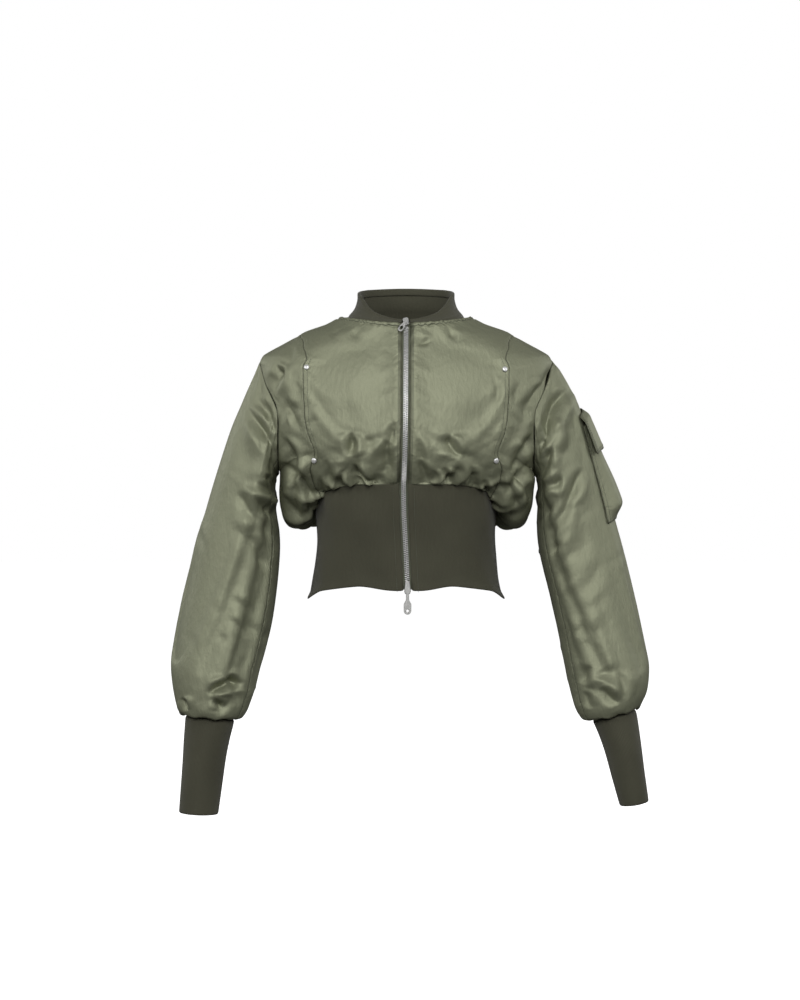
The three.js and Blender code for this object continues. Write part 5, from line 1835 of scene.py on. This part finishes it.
@dataclass
class Rivets:
    """Domed rivets at the two ends of each front slit. Sizes are in millimetres."""

    radius: float = 3.8
    crown: float = 1.5
    rim: float = 0.9
    root: float = 1.2
    seat: float = 0.4
    sides: int = 28
    steps: int = 7

    def dress(self, shell: Shell, finishes: Finishes) -> None:
        """Sets each rivet on the finished front.

        Args:
            shell: The shell.
            finishes: The finishes.
        """
        for word in ("right", "left"):
            patch = shell.patches[f"centre_front_{word}"]
            for end in ("upper", "lower"):
                node = f"rivet_{end}_{word}"
                low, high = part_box(node)
                middle = np.array((low + high) / 2) / MM
                gap = np.linalg.norm(patch.points[..., [0, 2]] - middle[[0, 2]], axis=-1)
                spot = np.unravel_index(gap.argmin(), gap.shape)
                seat = patch.points[gap < self.radius][:, 1].min() - self.seat
                self.rivet(node, np.array([middle[0], seat, middle[2]]), patch.normals[spot], finishes)

    def rivet(self, node: str, seat: Array, way: Array, finishes: Finishes) -> None:
        """Builds one rivet.

        Args:
            node: CAD node that it replaces.
            seat: Its foot in millimetres.
            way: Its direction.
            finishes: The finishes.
        """
        bend = np.linspace(0, math.pi / 2, self.steps)[:-1]
        radius = np.concatenate([[self.radius * 0.9, self.radius], self.radius * np.cos(bend)])
        height = np.concatenate([[-self.root, 0.0], self.rim + self.crown * np.sin(bend)])
        turn = np.arange(self.sides) / self.sides * 2 * math.pi
        points = [(r * math.cos(t), r * math.sin(t), h) for r, h in zip(radius, height) for t in turn]
        points += [(0, 0, -self.root), (0, 0, self.rim + self.crown)]
        foot, peak = len(points) - 2, len(points) - 1
        ring = range(self.sides)
        after = [(j + 1) % self.sides for j in ring]
        starts = [number * self.sides for number in range(len(radius))]
        faces = [(low + j, low + k, high + k, high + j)
                 for low, high in zip(starts, starts[1:]) for j, k in zip(ring, after)]
        for j, k in zip(ring, after):
            faces += [(foot, k, j), (peak, starts[-1] + j, starts[-1] + k)]
        mesh = bpy.data.meshes.new(f"{node}_dome")
        turned = Vector((0, 0, 1)).rotation_difference(Vector(way)).to_matrix().to_4x4()
        place = Matrix.Translation(Vector(seat * MM)) @ turned @ Matrix.Scale(MM, 4)
        mesh.from_pydata([tuple(place @ Vector(point)) for point in points], [], faces)
        mesh.polygons.foreach_set("use_smooth", np.ones(len(mesh.polygons), dtype=bool))
        mesh.materials.append(finishes.metal)
        piece = linked(f"{node}_dome", mesh)
        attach(piece, "jacket")
        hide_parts(node)
        LOG.info("rivet %s", node)


@dataclass
class SleevePocket:
    """Bellows pocket and its flap on the outside of the left sleeve.

    Tops and feet are sections of the sleeve, fore, aft and flare are angles round it, the inset is a share of
    the pocket's width, and the rest is in millimetres.
    """

    top: float = 3.9
    foot: float = 6.75
    fore: float = 34.0
    flare: float = 9.0
    aft: float = -50.0
    mouth: float = 5.0
    belly: float = 17.0
    wall: float = 1.6
    stitch: float = 6.0
    flap_top: float = 3.45
    flap_foot: float = 4.8
    flap_fore: float = 37.0
    flap_flare: float = 2.0
    flap_aft: float = -53.0
    flap_inset: float = 0.13
    flap_lift: float = 2.4
    flap_stitch: float = 5.0
    flap_seam: float = 4.0
    patches: dict[str, Patch] = field(default_factory=dict)

    def pocket_out(self, down: Array, across: Array) -> Array:
        """How far the pocket's face stands off the sleeve.

        Args:
            down: Share of the way down.
            across: Share of the way across.

        Returns:
            Distances in millimetres.
        """
        belly = self.mouth + (self.belly - self.mouth) * down**1.2
        edge = ease(0, 0.2, across) * ease(0, 0.2, 1 - across) * ease(0, 0.14, 1 - down)
        sag = 0.9 * np.sin(across * 9 + 1) * np.sin(down * 7) * edge
        return 0.6 + belly * edge + sag

    def flap_out(self, down: Array, across: Array) -> Array:
        """How far the flap stands off the sleeve.

        Args:
            down: Share of the way down.
            across: Share of the way across.

        Returns:
            Distances in millimetres, which keep it clear of the pocket's face below.
        """
        share = (self.flap_top + (self.flap_foot - self.flap_top) * down - self.top) / (self.foot - self.top)
        angle = self.flap_fore + (self.flap_aft - self.flap_fore) * across
        place = np.clip((self.fore - angle) / (self.fore - self.aft), self.flap_inset, 1 - self.flap_inset)
        under = (self.pocket_out(np.clip(share, 0, 1), place) + self.wall + 0.7) * ease(-0.18, -0.03, share)
        return np.maximum(0.6, under + self.flap_lift * down + 0.5 * np.sin(across * 8) * down)

    def patch(self, name: str, size: tuple[float, float, float, float, float], rows: int, columns: int,
              out: Surface, lines: Insets) -> Patch:
        """Builds one face over the sleeve.

        Args:
            name: Name of the piece.
            size: Top and foot along the sleeve, first and last angle round it, and the flare.
            rows: Points down.
            columns: Points across.
            out: Stand-off by share down and across.
            lines: Lines of stitching beside its edges.

        Returns:
            The patch.
        """
        top, foot, fore, aft, flare = size
        across, down = np.meshgrid(np.linspace(0, 1, columns), np.linspace(0, 1, rows))
        step = top + (foot - top) * down
        angle = (fore + flare * down) * (1 - across) + aft * across
        normal = LEFT.normal(step, angle)
        points = LEFT.form(step, angle) + normal * (out(down, across) + self.wall)[..., None]
        return Patch(name, points, normal, lines=lines)

    def dress(self, finishes: Finishes) -> None:
        """Builds the pocket and the flap.

        Args:
            finishes: The finishes.
        """
        pocket = (self.top, self.foot, self.fore, self.aft, self.flare)
        flap = (self.flap_top, self.flap_foot, self.flap_fore, self.flap_aft, self.flap_flare)
        sides = ("last", "left", "right")
        flap_lines = (*((edge, self.flap_stitch) for edge in sides), ("first", self.flap_seam))
        self.patches = {
            "sleeve_pocket": self.patch("sleeve_pocket_cloth", pocket, 36, 30, self.pocket_out,
                                        tuple((edge, self.stitch) for edge in sides)),
            "pocket_flap": self.patch("pocket_flap_cloth", flap, 18, 30, self.flap_out, flap_lines),
        }
        for node, patch in self.patches.items():
            dress_cloth(patch, finishes.shell, self.wall, (node,))


@dataclass
class Stitching:
    """Rows of topstitching on the shell, the pocket and the rib edges. Sizes are in millimetres."""

    pitch: float = 3.4
    size: Triple = (0.55, 2.5, 0.5)
    bevel: float = 0.14
    proud: float = 0.12
    rib_inset: float = 9.0
    slit_inset: float = 6.0

    def lines(self, shell: Shell, ribs: Ribs, pocket: SleevePocket) -> list[Line]:
        """Every stitched line with its outward directions.

        Args:
            shell: The shell.
            ribs: The rib pieces.
            pocket: The sleeve pocket.

        Returns:
            Points and directions of each line.
        """
        waistband = ribs.patches["waistband"]
        rows = [waistband.inset_line(edge, self.rib_inset, 0.02, 0.9) for edge in ("left", "right")]
        for word in ("right", "left"):
            front = shell.patches[f"centre_front_{word}"]
            rows.append(front.inset_line("left", shell.zip_stitch))
            rows.append(front.inset_line("right", self.slit_inset, 0.30, 0.78))
            rows.append(front.inset_line("last", shell.neck_strip, 0.03, 1.0))
        rows.append(shell.patches["back"].inset_line("last", shell.neck_strip))
        flap, bag = pocket.patches["pocket_flap"], pocket.patches["sleeve_pocket"]
        rows += [flap.inset_line(edge, pocket.flap_stitch) for edge in ("last", "left", "right")]
        rows += [bag.inset_line(edge, pocket.stitch, 0.1, 1.0) for edge in ("left", "right")]
        return rows

    def dress(self, shell: Shell, ribs: Ribs, pocket: SleevePocket, finishes: Finishes) -> None:
        """Sews every line.

        Args:
            shell: The shell.
            ribs: The rib pieces.
            pocket: The sleeve pocket.
            finishes: The finishes.
        """
        runs = []
        for line, way in self.lines(shell, ribs, pocket):
            at = spaced(line, self.pitch)
            middle, face = along_line(line, at), unit(along_line(way, at))
            runs.append((middle + face * self.proud, unit(np.gradient(middle, axis=0)), face))
        part = solid_part("stitch", self.size, 1.0, self.bevel)
        seam = Repeats("topstitching", part, finishes.thread).build(runs)
        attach(seam, "jacket")


@dataclass
class Studio:
    """Pale floor, soft lights and the camera at the front view's height and distance. Sizes are in metres."""

    distance: float = 3.3
    scale: float = 1.4
    film: float = 36
    height: float = SHOWN_UP * MM
    offset: float = SHOWN_ACROSS * MM
    floor: float = -0.71
    floor_reach: float = 14.0
    floor_glow: float = 0.96
    ambient: float = 0.09
    target: Triple = (0, 0, -0.28)

    def camera(self) -> None:
        """Adds the camera, level and square to the front."""
        data = bpy.data.cameras.new("camera")
        data.lens = self.film * self.distance / self.scale
        data.sensor_width = self.film
        camera = linked("camera", data)
        camera.location = (self.offset, -self.distance, self.height)
        camera.rotation_euler = (math.pi / 2, 0, 0)
        bpy.context.scene.camera = camera

    def light(self, name: str, place: Triple, size: float, power: float) -> None:
        """Adds a soft square light aimed at the jacket.

        Args:
            name: Name of the light.
            place: Where it stands.
            size: Its width.
            power: Its power in watts.
        """
        data = bpy.data.lights.new(name, "AREA")
        data.size, data.energy = size, power
        lamp = linked(name, data)
        lamp.location = place
        aim = Vector(self.target) - Vector(place)
        lamp.rotation_euler = aim.to_track_quat("-Z", "Y").to_euler()

    def ground(self) -> None:
        """Adds the pale floor, which shines evenly to the camera and lights nothing."""
        mesh = bpy.data.meshes.new("floor")
        corners = ((-1, -1), (1, -1), (1, 1), (-1, 1))
        mesh.from_pydata([(x * self.floor_reach, y * self.floor_reach, self.floor) for x, y in corners], [],
                         [(0, 1, 2, 3)])
        ground = linked("floor", mesh)
        paper = PlainFinish("pale_paper", (0.9, 0.9, 0.9), 0.9, 0.0, 400.0, 0.0001).build()
        shine = paper.node_tree.nodes["Principled BSDF"]
        shine.inputs["Emission Color"].default_value = (1, 1, 1, 1)
        shine.inputs["Emission Strength"].default_value = self.floor_glow
        mesh.materials.append(paper)
        ground.visible_diffuse = ground.visible_glossy = False

    def world(self) -> None:
        """Adds the world, white to the camera and faint to everything else."""
        world = bpy.data.worlds.new("studio")
        world.use_nodes = True
        back = world.node_tree.nodes["Background"]
        back.inputs["Color"].default_value = (1, 1, 1, 1)
        graph = Graph(world.node_tree)
        seen = graph.add("ShaderNodeLightPath").outputs["Is Camera Ray"]
        rest = graph.times(seen, 1.0 - self.ambient)
        graph.link(graph.plus(self.ambient, rest), back.inputs["Strength"])
        bpy.context.scene.world = world

    def build(self) -> None:
        """Builds floor, world, lights and camera."""
        self.ground()
        self.world()
        for name, place, size, power in (
            ("key", (0.0, -2.7, 1.0), 1.5, 57),
            ("side_right", (-2.4, -1.3, 1.0), 1.2, 24),
            ("side_left", (2.4, -1.3, 1.0), 1.2, 20),
            ("rim_right", (-2.2, 1.2, 0.7), 1.2, 14),
            ("rim_left", (2.2, 1.2, 0.7), 1.2, 14),
        ):
            self.light(name, place, size, power)
        bpy.context.scene.view_settings.view_transform = "Standard"
        self.camera()
        LOG.info("studio")


def main() -> None:
    """Builds the jacket's pieces in order, logging some of the steps."""
    logging.basicConfig(level=logging.INFO, format="%(message)s")
    Studio().build()
    finishes = Finishes()
    shell = Shell()
    shell.build()
    shell.dress(finishes)
    ribs = Ribs()
    ribs.build()
    ribs.dress(finishes)
    Zip().dress(finishes)
    Rivets().dress(shell, finishes)
    pocket = SleevePocket()
    pocket.dress(finishes)
    Stitching().dress(shell, ribs, pocket, finishes)


if __name__ == "__main__":
    main()
